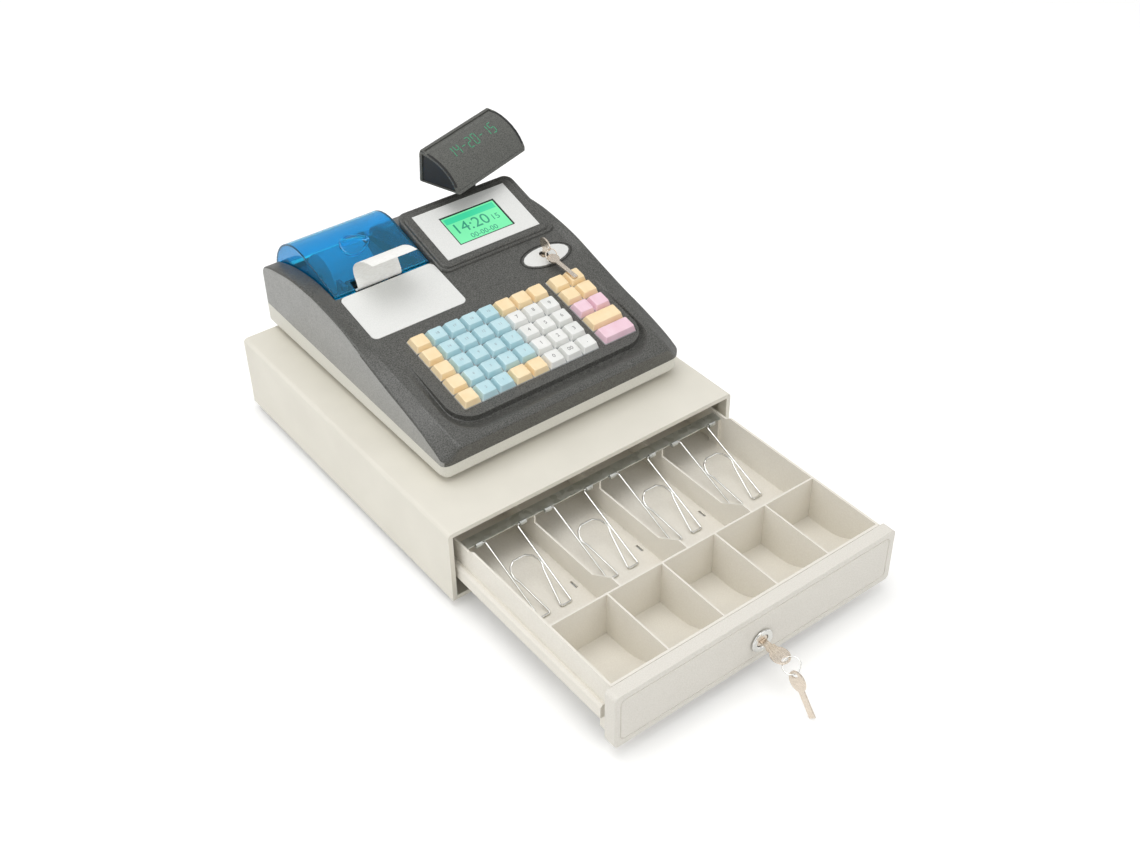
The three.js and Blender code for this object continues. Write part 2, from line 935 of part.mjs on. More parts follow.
function billClip() {
  const half = [
    clipPoint(clipEarReach, 0),
    clipPoint(clipOuterHalf, 0),
    clipPoint(clipOuterHalf, 1),
    clipPoint(clipInnerHalf, 1),
  ];
  const arch = [];
  for (let angle = clipArchOpening; angle <= 180; angle += (180 - clipArchOpening) / clipArchSteps) {
    const turn = degToRad(angle);
    const share = clipArchShare + (clipArchRun / clipRun) * Math.cos(turn);
    arch.push(clipPoint(clipArchHalf * Math.sin(turn), share));
  }
  const right = [...bentPath([...half, arch[0]], clipBend).slice(0, -1), ...arch];
  const left = right
    .slice()
    .reverse()
    .map((p) => new THREE.Vector3(-p.x, p.y, p.z));
  return sweep(roundSection(clipWireRadius, 6), [...right, ...left]);
}

function bayCentre(index) {
  return bayLeftX(index) + bayWidth / 2;
}

function clipBracket() {
  const half = trayInnerHalf - seatGap;
  const earRadius = clipWireRadius + runningGap + earWall;
  const stripFront = clipPivotY + earWall;
  const bottom = clipPivotHeight - bracketThickness / 2;
  const strip = block(
    -half,
    half,
    stripFront,
    stripFront + bracketDepth,
    bottom,
    bottom + bracketThickness,
  );
  const bores = [];
  const ears = [];
  for (let i = 0; i < bayCount; i += 1) {
    [-1, 1].forEach((side) => {
      const inner = bayCentre(i) + side * (clipEarReach - earLength + clipWireRadius);
      const outer = bayCentre(i) + side * (clipEarReach + clipWireRadius);
      const from = Math.min(inner, outer);
      const to = Math.max(inner, outer);
      ears.push(rod("x", earRadius, from, to, clipPivotY, clipPivotHeight, 8));
      bores.push(
        rod(
          "x",
          clipWireRadius + runningGap,
          from - overrun,
          to + overrun,
          clipPivotY,
          clipPivotHeight,
          8,
        ),
      );
    });
  }
  return cut(join(strip, ...ears), ...bores);
}

// Lock, keys and ring at the drawer front

function lockBarrel() {
  const flange = rod("y", lockFlangeRadius, -lockFlangeReach, -seatGap, 0, 0, 18);
  const body = rod("y", lockBodyRadius, -lockFlangeReach, lockLength - seatGap, 0, 0, 18);
  const bore = rod(
    "y",
    lockPlugRadius + seatGap,
    -lockFlangeReach - overrun,
    lockLength - 2 * seatGap - lockRearWall,
    0,
    0,
  );
  return cut(join(flange, body), bore);
}

function lockPlug() {
  const rear = lockLength - 3 * seatGap - lockRearWall;
  const plug = rod("y", lockPlugRadius, lockPlugSetback - lockFlangeReach, rear, 0, 0);
  const halfWide = keyBladeWidth / 2 + keySlotGap;
  const halfThick = keyThickness / 2 + keySlotGap;
  const slot = block(-halfWide, halfWide, -overrun, keyInsertDepth + seatGap, -halfThick, halfThick);
  return cut(plug, slot);
}

// A flat key along -Y: the tip at tipY, the bow's near edge at bowY
function flatKey(tipY, bowY, neckWidth) {
  const half = keyThickness / 2;
  const bowCentre = bowY - keyBowLength / 2;
  const bow = plate(ellipseOutline(0, bowCentre, keyBowWidth / 2, keyBowLength / 2), -half, half, 10);
  const blade = block(-keyBladeWidth / 2, keyBladeWidth / 2, bowCentre, tipY, -half, half);
  const neck = block(
    -neckWidth / 2,
    neckWidth / 2,
    bowCentre,
    lerp(bowY, tipY, keyNeckShare),
    -half,
    half,
  );
  const holeY = bowY - keyBowLength + keyHoleInset;
  const hole = plate(
    ellipseOutline(0, holeY, keyHoleWidth / 2, keyHoleHeight / 2),
    -overrun,
    overrun,
    6,
  );
  return cut(join(bow, blade, neck), hole);
}

const keyBowEdgeY = -lockFlangeReach - keyBowGap;
const keyHoleY = keyBowEdgeY - keyBowLength + keyHoleInset;

// The ring's own axes at the hole in the bow: along its wire, and towards its centre
const ringTangent = new THREE.Vector3(
  Math.cos(degToRad(ringTwistAngle)),
  0,
  Math.sin(degToRad(ringTwistAngle)),
);
const ringDown = new THREE.Vector3(
  Math.sin(degToRad(ringTwistAngle)),
  0,
  -Math.cos(degToRad(ringTwistAngle)),
);
const ringInward = new THREE.Vector3(0, -Math.cos(degToRad(ringDropAngle)), 0).addScaledVector(
  ringDown,
  Math.sin(degToRad(ringDropAngle)),
);

function ringAt(radius, wireRadius, inward, tangent, hole) {
  const torus = new THREE.TorusGeometry(radius, wireRadius, 6, 20);
  const across = new THREE.Vector3().crossVectors(inward, tangent);
  const frame = new THREE.Matrix4().makeBasis(inward, tangent, across);
  frame.setPosition(hole.clone().addScaledVector(inward, radius));
  return torus.applyMatrix4(frame);
}

function ringPoint(angle) {
  const turn = degToRad(angle);
  return new THREE.Vector3(0, keyHoleY, 0)
    .addScaledVector(ringTangent, ringRadius * Math.sin(turn))
    .addScaledVector(ringInward, ringRadius * (1 - Math.cos(turn)));
}

function ringDirection(angle) {
  const turn = degToRad(angle);
  return new THREE.Vector3()
    .addScaledVector(ringTangent, Math.cos(turn))
    .addScaledVector(ringInward, Math.sin(turn))
    .normalize();
}

// The spare key hangs aslant on the ring's front, turned to the side, its tip near the floor
function spareKey() {
  const lean = degToRad(spareLeanAngle);
  const roll = degToRad(keyRollAngle);
  const down = new THREE.Vector3(0, -Math.sin(lean), -Math.cos(lean));
  down.applyAxisAngle(new THREE.Vector3(0, 1, 0), roll);
  const across = ringDirection(spareRingAngle);
  across.addScaledVector(down, -across.dot(down)).normalize();
  across.applyAxisAngle(down, degToRad(spareTurnAngle));
  const wide = new THREE.Vector3().crossVectors(down, across);
  const frame = new THREE.Matrix4().makeBasis(wide, down, across);
  frame.setPosition(ringPoint(spareRingAngle));
  const key = geometryOf(flatKey(keyBladeLength, 0, keyBladeWidth));
  const settle = keyHoleHeight / 2 - ringWireRadius - spareRimGap;
  key.translate(0, keyBowLength - keyHoleInset + settle, 0);
  return key.applyMatrix4(frame);
}

// Register case

const deckSlope = Math.tan(degToRad(deckTilt));
const registerHalf = registerWidth / 2;
const creaseShares = [
  [-0.012, 0.266],
  [0.058, 0.397],
  [0.172, 0.539],
  [0.266, 0.629],
  [0.386, 0.77],
  [0.44, 0.84],
  [0.51, 0.921],
  [0.593, 0.971],
  [0.68, 1.0],
  [0.769, 0.993],
  [0.865, 0.94],
  [0.964, 0.837],
  [0.985, 0.72],
  [1.0, 0.539],
];

function deckHeight(y) {
  const rise = lipHeight + deckSlope * (Math.min(y, deckArchStart) + lipLean);
  if (y <= deckArchStart) {
    return rise;
  }
  const end = registerDepth * deckEndShare - deckArchStart;
  const fall = (rise + deckSlope * end - deckEndHeight) / end ** 2;
  const run = y - deckArchStart;
  return rise + deckSlope * run - fall * run ** 2;
}

function creaseHeight(y) {
  const share = y / registerDepth;
  const after = creaseShares.findIndex(([s]) => s >= share - 1e-9);
  const high = creaseShares[Math.max(after, 1)];
  const low = creaseShares[Math.max(after, 1) - 1];
  return creaseRise * lerp(low[1], high[1], (share - low[0]) / (high[0] - low[0]));
}

function partingHeight(y) {
  return lerp(partingFront, partingRear, y / registerDepth);
}

function rimHalf(y) {
  return lerp(rimFrontHalf, rimRearHalf, clamp(y / rimSettle, 0, 1));
}

function caseSection(y, at, inset, topInset, bottom) {
  const crease = creaseHeight(at) - inset;
  const deck = Math.min(deckHeight(at), at > registerDepth * deckEndShare ? crease + inset : Infinity);
  const half = registerHalf - inset;
  const rim = rimHalf(at) - inset;
  return [
    [half, y, bottom],
    [-half, y, bottom],
    [-half, y, crease],
    [-rim, y, deck - topInset],
    [rim, y, deck - topInset],
    [half, y, crease],
  ];
}

function caseOuter() {
  const rings = creaseShares.map(([share]) => {
    const y = share * registerDepth;
    return caseSection(y, y, 0, 0, partingHeight(y) + seatGap);
  });
  return loft(rings);
}

// The case is thicker under the keyboard, where it holds the key wells
function caseInner() {
  const front = caseWall;
  const wellRear = (keyboardRear + capBase / 2 + wellMargin) * Math.cos(degToRad(deckTilt));
  const stations = creaseShares
    .map(([share]) => share * registerDepth)
    .filter((y) => y > front + overrun && y < registerDepth - overrun);
  const rings = [front, ...stations, registerDepth - caseWall].map((y) => {
    const wall = y < wellRear ? keyboardWall : caseWall;
    return caseSection(y, Math.min(y, registerDepth - caseWall), caseWall, wall, -overrun);
  });
  return loft(rings);
}

// The deck's own frame: y runs up the slope from the front lip, z is height above the deck
const deckFrame = new THREE.Matrix4()
  .makeTranslation(0, -lipLean, lipHeight)
  .multiply(new THREE.Matrix4().makeRotationX(degToRad(deckTilt)));
const onDeck = (geometry) => geometryOf(geometry).clone().applyMatrix4(deckFrame);
const alongDeck = (y) => (y + lipLean) / Math.cos(degToRad(deckTilt));

const keyboardRear = keyboardFront + (keyRows - 1) * keyPitchY;
const columnX = (column) => keyboardLeft + column * keyPitchX;
const rowY = (row) => keyboardRear - row * keyPitchY;
const sideX = (column) => columnX(keyColumns) + sideBlockGap + column * keyPitchX;
const sideMiddleX = (sideX(0) + sideX(1)) / 2;
const wideCapWidth = capBase + keyPitchX;

function allKeyPlaces() {
  const places = [];
  for (let row = 0; row < keyRows; row += 1) {
    for (let column = 0; column < keyColumns; column += 1) {
      places.push([columnX(column), rowY(row)]);
    }
  }
  for (let row = 0; row < keyRows; row += 1) {
    const wide = row >= keyRows - 2;
    const columns = wide ? [sideMiddleX] : [sideX(0), sideX(1)];
    columns.forEach((x) => places.push([x, rowY(row)]));
  }
  return places;
}

function keyWells() {
  const reach = capBase / 2 + wellMargin;
  const front = keyboardFront - reach;
  const rear = keyboardRear + reach;
  const well = (from, to) => block(from - reach, to + reach, front, rear, -wellDepth, overrun);
  const hole = stemSize / 2 + stemGap;
  const stems = allKeyPlaces().map(([x, y]) =>
    block(x - hole, x + hole, y - hole, y + hole, -keyboardWall - overrun, overrun),
  );
  return [well(columnX(0), columnX(keyColumns - 1)), well(sideX(0), sideX(1)), ...stems].map(onDeck);
}

// A shallow valley round the keyboard, deepest at the front and run out beside the rear row
function cove() {
  const rear = coveEnd + overrun;
  const outer = roundedOutline(
    -coveOuterLeft,
    coveOuterRight,
    coveOuterFront,
    rear + 2 * coveOuterRadius,
    coveOuterRadius,
  );
  const inner = roundedOutline(
    -covePanelLeft,
    covePanelRight,
    covePanelFront,
    rear + 3 * coveOuterRadius,
    covePanelRadius,
  );
  const ring = cut(plate(outer, 0, 3 * overrun), plate(inner, -overrun, 4 * overrun));
  const sideways = geometryOf(ring).translate(0, -coveEnd, 0);
  const fall = Math.atan2(coveDepth, coveEnd - covePanelFront);
  return onDeck(sideways.rotateX(fall).translate(0, coveEnd, 0));
}

const lcdSlope = Math.tan(degToRad(lcdTilt));
const lcdHeight = (y) => lcdCentreHeight + lcdSlope * (y - lcdCentreY);
const lcdFrame = new THREE.Matrix4()
  .makeTranslation(lcdCentreX, lcdCentreY, lcdCentreHeight)
  .multiply(new THREE.Matrix4().makeRotationX(degToRad(lcdTilt)));
const onLcd = (geometry) => geometryOf(geometry).clone().applyMatrix4(lcdFrame);

// A plan outline raised from the deck to a plane that lies under the display plate's plane
function wedge(shape, foot, drop) {
  const top = lcdCentreHeight + registerDepth * lcdSlope;
  const raised = plate(shape, foot, top);
  const lid = outline([
    [-overrun, lcdHeight(-overrun) - drop],
    [registerDepth, lcdHeight(registerDepth) - drop],
    [registerDepth, 2 * top],
    [-overrun, 2 * top],
  ]);
  return cut(raised, alongX(lid, -registerWidth, registerWidth));
}

function displayHump() {
  const foot = deckHeight(humpFront) - caseWall;
  const outer = roundedOutline(humpLeft, humpRight, humpFront, humpRear, humpRadius);
  const panel = roundedOutline(panelLeft, panelRight, panelFront, panelRear, panelRadius);
  return join(wedge(outer, foot, humpDrop), wedge(panel, foot, 0));
}

function displayHollow() {
  const plan = roundedOutline(
    panelLeft,
    panelRight,
    panelFront + caseWall,
    humpRear - caseWall,
    panelRadius - caseWall,
  );
  return wedge(plan, lipHeight, humpWall);
}

const lcdRecess = lcdPlateThickness + seatGap;
const lcdScreenHalfX = lcdWindowWidth / 2 + lcdScreenMargin;
const lcdScreenHalfY = lcdWindowDepth / 2 + lcdScreenMargin;

function lcdPockets() {
  const halfX = lcdPlateWidth / 2 + seatGap;
  const halfY = lcdPlateDepth / 2 + seatGap;
  const platePocket = block(-halfX, halfX, -halfY, halfY, -lcdRecess, overrun);
  const depth = lcdRecess + lcdScreenThickness + 2 * seatGap;
  const screenPocket = block(
    lcdWindowShiftX - lcdScreenHalfX - seatGap,
    lcdWindowShiftX + lcdScreenHalfX + seatGap,
    lcdWindowShiftY - lcdScreenHalfY - seatGap,
    lcdWindowShiftY + lcdScreenHalfY + seatGap,
    -depth,
    overrun,
  );
  return [onLcd(platePocket), onLcd(screenPocket)];
}

function lcdPlate() {
  const whole = block(
    -lcdPlateWidth / 2,
    lcdPlateWidth / 2,
    -lcdPlateDepth / 2,
    lcdPlateDepth / 2,
    seatGap - lcdRecess,
    0,
  );
  const window = block(
    lcdWindowShiftX - lcdWindowWidth / 2,
    lcdWindowShiftX + lcdWindowWidth / 2,
    lcdWindowShiftY - lcdWindowDepth / 2,
    lcdWindowShiftY + lcdWindowDepth / 2,
    -overrun,
    overrun,
  );
  return onLcd(cut(whole, window));
}

function lcdScreen() {
  const top = -lcdRecess;
  return onLcd(
    block(
      lcdWindowShiftX - lcdScreenHalfX,
      lcdWindowShiftX + lcdScreenHalfX,
      lcdWindowShiftY - lcdScreenHalfY,
      lcdWindowShiftY + lcdScreenHalfY,
      top - lcdScreenThickness,
      top,
    ),
  );
}

// Mode lock in its oval plate

const modeDeckY = alongDeck(modeY);
const modePlateDeckY = alongDeck(modePlateY);

function modeOval(grow) {
  return ellipseOutline(
    modePlateX,
    modePlateDeckY,
    modePlateLength / 2 + grow,
    modePlateDepth / 2 + grow,
  );
}

function modeCuts() {
  const groove = cut(
    plate(modeOval(modeGrooveOuter / 2), -modeGrooveDepth, overrun, 10),
    plate(modeOval(modeGrooveInner / 2), -2 * overrun, 2 * overrun, 10),
  );
  const pocket = plate(modeOval(seatGap), -plateRecess, overrun, 10);
  const hole = rod("z", modeHoleRadius, -4 * overrun, overrun, modeX, modeDeckY);
  return [groove, pocket, hole].map(onDeck);
}

function modeBoss() {
  const bottom = -modePlugDrop - modePlugLength - modeBossWall;
  return onDeck(rod("z", modeHoleRadius + modeBossWall, bottom, -caseWall / 2, modeX, modeDeckY));
}

function modePlate() {
  const bottom = seatGap - plateRecess;
  const oval = plate(modeOval(0), bottom, bottom + modePlateThickness, 10);
  return onDeck(cut(oval, rod("z", modeHoleRadius, -overrun, overrun, modeX, modeDeckY)));
}

function modePlug() {
  const plug = rod(
    "z",
    modeHoleRadius - seatGap,
    -modePlugDrop - modePlugLength,
    -modePlugDrop,
    modeX,
    modeDeckY,
  );
  const halfThick = modeKeyThickness / 2 + seatGap;
  const halfWide = modeKeyBlade / 2 + seatGap;
  const slot = block(
    modeX - halfThick,
    modeX + halfThick,
    modeDeckY - halfWide,
    modeDeckY + halfWide,
    -modePlugDrop - modePlugLength / 2 - seatGap,
    overrun,
  );
  return onDeck(cut(plug, slot));
}

const modeRingHoleY = modeDeckY - modeBowWidth / 2 + modeHoleSize + ringWireRadius;

function modeKey() {
  const half = modeKeyThickness / 2;
  const shape = ellipseOutline(modeDeckY, modeKeyRise, modeBowWidth / 2, modeBowHeight / 2);
  const bow = alongX(shape, modeX - half, modeX + half, 8);
  const blade = block(
    modeX - half,
    modeX + half,
    modeDeckY - modeKeyBlade / 2,
    modeDeckY + modeKeyBlade / 2,
    -modePlugDrop - modePlugLength / 2,
    modeKeyRise,
  );
  const hole = rod(
    "x",
    modeHoleSize,
    modeX - overrun,
    modeX + overrun,
    modeRingHoleY,
    modeKeyRise,
    14,
  );
  return onDeck(cut(join(bow, blade), hole));
}

// The ring with its spare key, which lies forward over the keys
function modeRing() {
  const drop = degToRad(modeRingDrop);
  const inward = new THREE.Vector3(0, -Math.cos(drop), -Math.sin(drop));
  const tangent = new THREE.Vector3(1, 0, 0);
  const settle = modeHoleSize - ringWireRadius - seatGap;
  const hole = new THREE.Vector3(modeX, modeRingHoleY, modeKeyRise).addScaledVector(inward, settle);
  const ring = ringAt(modeRingRadius, ringWireRadius, inward, tangent, hole);
  const half = modeKeyThickness / 2;
  const bow = plate(ellipseOutline(0, 0, modeSpareBow, modeSpareBow), -half, half, 8);
  const blade = block(-modeKeyBlade / 2, modeKeyBlade / 2, -modeSpareLength, 0, -half, half);
  const splay = Math.atan2(modeSpareSplay, modeSpareLength);
  const spare = geometryOf(join(bow, blade));
  spare.rotateZ(splay).translate(modeSpareX, modeSpareY, modeSpareLift);
  return onDeck(join(ring, spare));
}

// Printer bay, cover, roll, paper and frame

function printerBay() {
  return block(bayLeft, bayRight, bayFront, bayRear, rearLowHeight, 2 * creaseRise);
}

const coverLeft = bayLeft + coverSideGap;
const coverRight = bayRight - coverSideGap;
const coverHingeHeight = coverRearHeight + coverHingeLift;

function coverOutline(inset) {
  const radius = coverArcRadius - inset;
  const start = Math.atan2(coverRearHeight - coverArcHeight, coverRearY - coverArcY);
  const arc = arcPoints(coverArcY, coverArcHeight, radius, start, degToRad(coverArcStart), 12);
  const foot = inset > 0 ? -overrun : 0;
  return outline([
    [coverFrontY + inset, coverFrontHeight - coverFrontSkirt + foot],
    [coverRearY - inset - coverRearLean, coverRearHeight + foot],
    ...arc,
    [coverFrontY + coverFrontFlat, coverFrontHeight + coverFrontRise - inset],
    [coverFrontY + inset, coverFrontHeight - inset],
  ]);
}

function printerCover() {
  const outer = alongX(coverOutline(0), coverLeft, coverRight);
  const inner = alongX(coverOutline(coverWall), coverLeft + coverWall, coverRight - coverWall);
  const notch = block(
    paperNotchLeft,
    paperNotchRight,
    coverFrontY - overrun,
    coverFrontY + paperNotchDepth,
    0,
    2 * creaseRise,
  );
  const pinRadius = coverHingeRadius;
  const ears = [coverLeft + coverWall, coverRight - coverWall - coverHingeEar].map((x) =>
    rod("x", pinRadius, x - weldOverlap, x + coverHingeEar + weldOverlap, coverHingeY, coverHingeHeight, 12),
  );
  return join(cut(outer, inner, notch), ...ears);
}

function printerPlate() {
  const bottom = seatGap - plateRecess;
  const shape = roundedOutline(
    printerPlateLeft,
    printerPlateRight,
    alongDeck(printerPlateFront),
    alongDeck(printerPlateRear),
    printerPlateRadius,
  );
  return onDeck(plate(shape, bottom, bottom + plateThickness));
}

function printerPlatePocket() {
  const shape = roundedOutline(
    printerPlateLeft - seatGap,
    printerPlateRight + seatGap,
    alongDeck(printerPlateFront) - seatGap,
    alongDeck(printerPlateRear) + overrun,
    printerPlateRadius,
  );
  return onDeck(plate(shape, -plateRecess, overrun));
}

function paperRoll() {
  const roll = rod("x", rollRadius, paperLeft, paperRight, 0, 0, 36);
  const core = rod("x", rollCoreRadius, paperLeft - overrun, paperRight + overrun, 0, 0, 16);
  return cut(roll, core);
}

// The strip from beside the roll, under and round the platen, out through the notch and curling forward
const paperShares = [
  [-0.15, 0.17],
  [-0.3, 0.3],
  [-0.317, 0.43],
  [-0.25, 0.57],
  [-0.22, 0.7],
  [-0.317, 1.02],
  [-0.55, 1.29],
  [-0.88, 1.52],
  [-1.25, 1.67],
  [-1.72, 1.75],
];

function receiptPaper() {
  const wrap = platenRadius + paperThickness / 2 + runningGap;
  const wrapFrom = degToRad(paperWrapStart);
  const round = arcPoints(platenY, platenHeight, wrap, wrapFrom, degToRad(paperWrapEnd), 4);
  const start = [rollY - rollRadius - paperThickness, rollHeight + rollCoreRadius];
  const out = paperShares.map(([a, b]) => [
    platenY - wrap + a * paperReach,
    platenHeight + b * paperReach,
  ]);
  const curled = new THREE.SplineCurve([...round, ...out].map(([y, z]) => new THREE.Vector2(y, z)));
  const path = [new THREE.Vector2(...start), ...curled.getPoints(paperSteps).slice(1)];
  const middleX = (paperLeft + paperRight) / 2;
  const samples = path.map((p) => new THREE.Vector3(middleX, p.x, p.y));
  const halfWide = (paperRight - paperLeft) / 2;
  const half = paperThickness / 2;
  const section = outline([
    [-halfWide, -half],
    [halfWide, -half],
    [halfWide, half],
    [-halfWide, half],
  ]);
  return sweep(section, samples);
}

function printerFrame() {
  const left = bayLeft + frameSideInset;
  const right = bayRight - frameSideInset;
  const front = bayFront + frameSideInset;
  const rear = bayRear - frameSideInset;
  const tray = block(left, right, front, rear, frameBottom, frameTop);
  const cradleRadius = rollRadius + runningGap;
  const cradleLeft = paperLeft - cradleGap;
  const cradleRight = paperRight + cradleGap;
  const cradle = rod("x", cradleRadius, cradleLeft, cradleRight, rollY, rollHeight, 36);
  const pit = block(
    left + frameWall,
    right - frameWall,
    front + frameWall,
    rear - frameWall,
    frameBottom - overrun,
    rollHeight - cradleRadius - frameWall,
  );
  const sidePit = block(
    cradleRight + frameWall,
    right - frameWall,
    front + frameWall,
    rear - frameLegSize,
    frameBottom - overrun,
    frameTop - frameWall,
  );
  const bearing = platenShaftRadius + runningGap + bearingWall;
  const mount = block(
    cradleLeft - platenCheek,
    cradleRight + platenCheek,
    platenY - bearing,
    platenY + 2 * platenRadius,
    frameTop - weldOverlap,
    platenHeight + bearing,
  );
  const channel = block(
    cradleLeft,
    cradleRight,
    front - overrun,
    platenY + 2 * platenRadius + cradleGap,
    frameTop + frameChannelStep,
    platenHeight + overrun,
  );
  const shaft = rod("x", platenShaftRadius + runningGap, left, right, platenY, platenHeight, 14);
  const legs = [left, right - frameLegSize].flatMap((x) =>
    [front, rear - frameLegSize].map((y) =>
      block(
        x,
        x + frameLegSize,
        y,
        y + frameLegSize,
        baseGroundGap + baseFloor + seatGap,
        frameBottom + weldOverlap,
      ),
    ),
  );
  const legRear = rear - frameLegSize + hingeLegDepth;
  const earTop = coverHingeHeight + coverHingeRadius + hingeCap;
  const reliefFloor = frameTop - hingeRelief;
  const relief = block(left - overrun, right + overrun, legRear, rear + overrun, reliefFloor, earTop);
  const pinBore = rod("x", coverHingeRadius + seatGap, bayLeft, bayRight, coverHingeY, coverHingeHeight, 12);
  const earPlaces = [coverLeft + coverWall + coverHingeEar, coverRight - coverWall - 2 * coverHingeEar];
  const hingeEars = earPlaces.map((x) => {
    const from = x - coverHingeEar + 2 * seatGap;
    const to = x + coverHingeEar - 2 * seatGap + weldOverlap;
    const leg = block(from, to, rear - frameLegSize, legRear, frameTop - weldOverlap, earTop);
    const head = block(
      from,
      to,
      legRear - weldOverlap,
      coverHingeY + hingeHeadReach,
      coverHingeHeight - hingeHeadReach,
      earTop,
    );
    return cut(join(leg, head), pinBore);
  });
  const body = join(cut(tray, pit, sidePit, relief), mount, ...legs);
  return join(cut(body, cradle, channel, shaft), ...hingeEars);
}

function platenRoller() {
  const roller = rod("x", platenRadius, paperLeft, paperRight, 0, 0, 20);
  const reach = cradleGap + platenCheek;
  const shaft = rod("x", platenShaftRadius, paperLeft - reach, paperRight + reach, 0, 0, 12);
  return join(roller, shaft);
}

// The white lower case: a tub that stands on four short feet
function registerBase() {
  const plan = (inset, radius) =>
    roundedOutline(inset - registerHalf, registerHalf - inset, inset, registerDepth - inset, radius);
  const lid = outline([
    [-overrun, lerp(partingFront, partingRear, -overrun / registerDepth)],
    [registerDepth + overrun, lerp(partingFront, partingRear, 1 + overrun / registerDepth)],
    [registerDepth + overrun, 2 * partingRear],
    [-overrun, 2 * partingRear],
  ]);
  const top = partingRear + overrun;
  const bandBottom = baseGroundGap + baseBandHeight;
  const band = plate(plan(0, registerCornerRadius), bandBottom, top, 4);
  const skirt = plate(
    plan(baseInset, registerCornerRadius - baseInset),
    baseGroundGap,
    bandBottom + weldOverlap,
    4,
  );
  const hollow = plate(
    plan(baseInset + caseWall, registerCornerRadius - baseInset),
    baseGroundGap + baseFloor,
    2 * top,
    4,
  );
  const feet = [-1, 1].flatMap((side) =>
    [baseFootInset, registerDepth - baseFootInset].map((y) =>
      rod(
        "z",
        baseFootRadius,
        seatGap,
        baseGroundGap + weldOverlap,
        side * (registerHalf - baseFootInset),
        y,
      ),
    ),
  );
  const tub = cut(join(band, skirt), hollow, alongX(lid, -registerWidth, registerWidth));
  return join(tub, ...feet);
}

function frontLeanCut() {
  const lean = lipLean / (lipHeight - partingFront);
  const over = lipHeight + overrun;
  return alongX(
    outline([
      [lean * partingFront, 0],
      [-lean * (over - partingFront), over],
      [-registerDepth, over],
      [-registerDepth, 0],
    ]),
    -registerWidth,
    registerWidth,
  );
}

function boardPosts() {
  const places = [
    [keyboardLeft - keyPitchX / 2, keyboardFront],
    [keyboardLeft - keyPitchX / 2, keyboardRear],
    [sideX(0) - keyPitchX / 2 - sideBlockGap / 2, keyboardFront],
    [sideX(0) - keyPitchX / 2 - sideBlockGap / 2, keyboardRear],
  ];
  return places.map(([x, y]) =>
    onDeck(rod("z", boardPostRadius, seatGap - boardDrop, weldOverlap - keyboardWall, x, y, 12)),
  );
}

function neckBoss() {
  const radius = neckFlangeRadius + seatGap;
  const bottom = deckHeight(displayY + radius) - caseWall;
  return rod("z", radius, bottom, deckHeight(displayY - neckFlangeRadius), displayX, displayY, 24);
}

function registerTop() {
  const plan = plate(
    roundedOutline(-registerHalf, registerHalf, -lipLean, registerDepth, registerCornerRadius),
    0,
    2 * creaseRise,
    4,
  );
  const shell = cut(common(caseOuter(), plan), frontLeanCut(), caseInner());
  const neckHole = rod("z", neckTenonRadius + seatGap, lipHeight, 2 * creaseRise, displayX, displayY);
  return cut(
    join(shell, displayHump(), neckBoss(), modeBoss(), ...boardPosts()),
    displayHollow(),
    printerBay(),
    ...lcdPockets(),
    printerPlatePocket(),
    ...modeCuts(),
    ...keyWells(),
    cove(),
    neckHole,
  );
}

function mainBoard() {
  const left = keyboardLeft - capBase / 2 - boardMargin;
  const right = sideX(1) + capBase / 2 + boardMarginRight;
  const front = keyboardFront - capBase / 2;
  const rear = keyboardRear + capBase / 2;
  return onDeck(block(left, right, front, rear, -boardDrop - boardThickness, -boardDrop));
}

// Keys

function cap(width) {
  const bottom = -capSink;
  const level = (halfX, halfY, z) => [
    [-halfX, -halfY, z],
    [halfX, -halfY, z],
    [halfX, halfY, z],
    [-halfX, halfY, z],
  ];
  const base = capBase / 2;
  const half = width / 2;
  const taper = (capBase - capTopWidth) / 2;
  return loft([
    level(half, base, bottom),
    level(half, base, bottom + capSkirt),
    level(half - taper, capTopDepth / 2, bottom + capHeight),
  ]);
}

function keyAt(x, y, width = capBase) {
  const half = stemSize / 2;
  const stem = block(-half, half, -half, half, -stemLength, weldOverlap);
  return geometryOf(join(cap(width), stem)).translate(x, y, 0);
}

// A bank is caps on thin plates: each plate spans a rectangle of key places
function bank(...rectangles) {
  const low = -capSink;
  const base = capBase / 2;
  const plates = rectangles.map((spots) => {
    const xs = spots.map(([x]) => x);
    const ys = spots.map(([, y]) => y);
    return block(
      Math.min(...xs) - base,
      Math.max(...xs) + base,
      Math.min(...ys) - base,
      Math.max(...ys) + base,
      low,
      low + webThickness,
    );
  });
  const bridges = rectangles.slice(1).map((spots) => {
    const [x, y] = spots[0];
    const half = webWidth / 2;
    return block(x - half, x + half, y, y + keyPitchY, low, low + webThickness);
  });
  return join(...plates, ...bridges, ...rectangles.flat().map(([x, y]) => keyAt(x, y)));
}

const places = (columns, rows) =>
  rows.flatMap((row) => columns.map((column) => [columnX(column), rowY(row)]));
const sidePlaces = (rows) => rows.flatMap((row) => [0, 1].map((column) => [sideX(column), rowY(row)]));

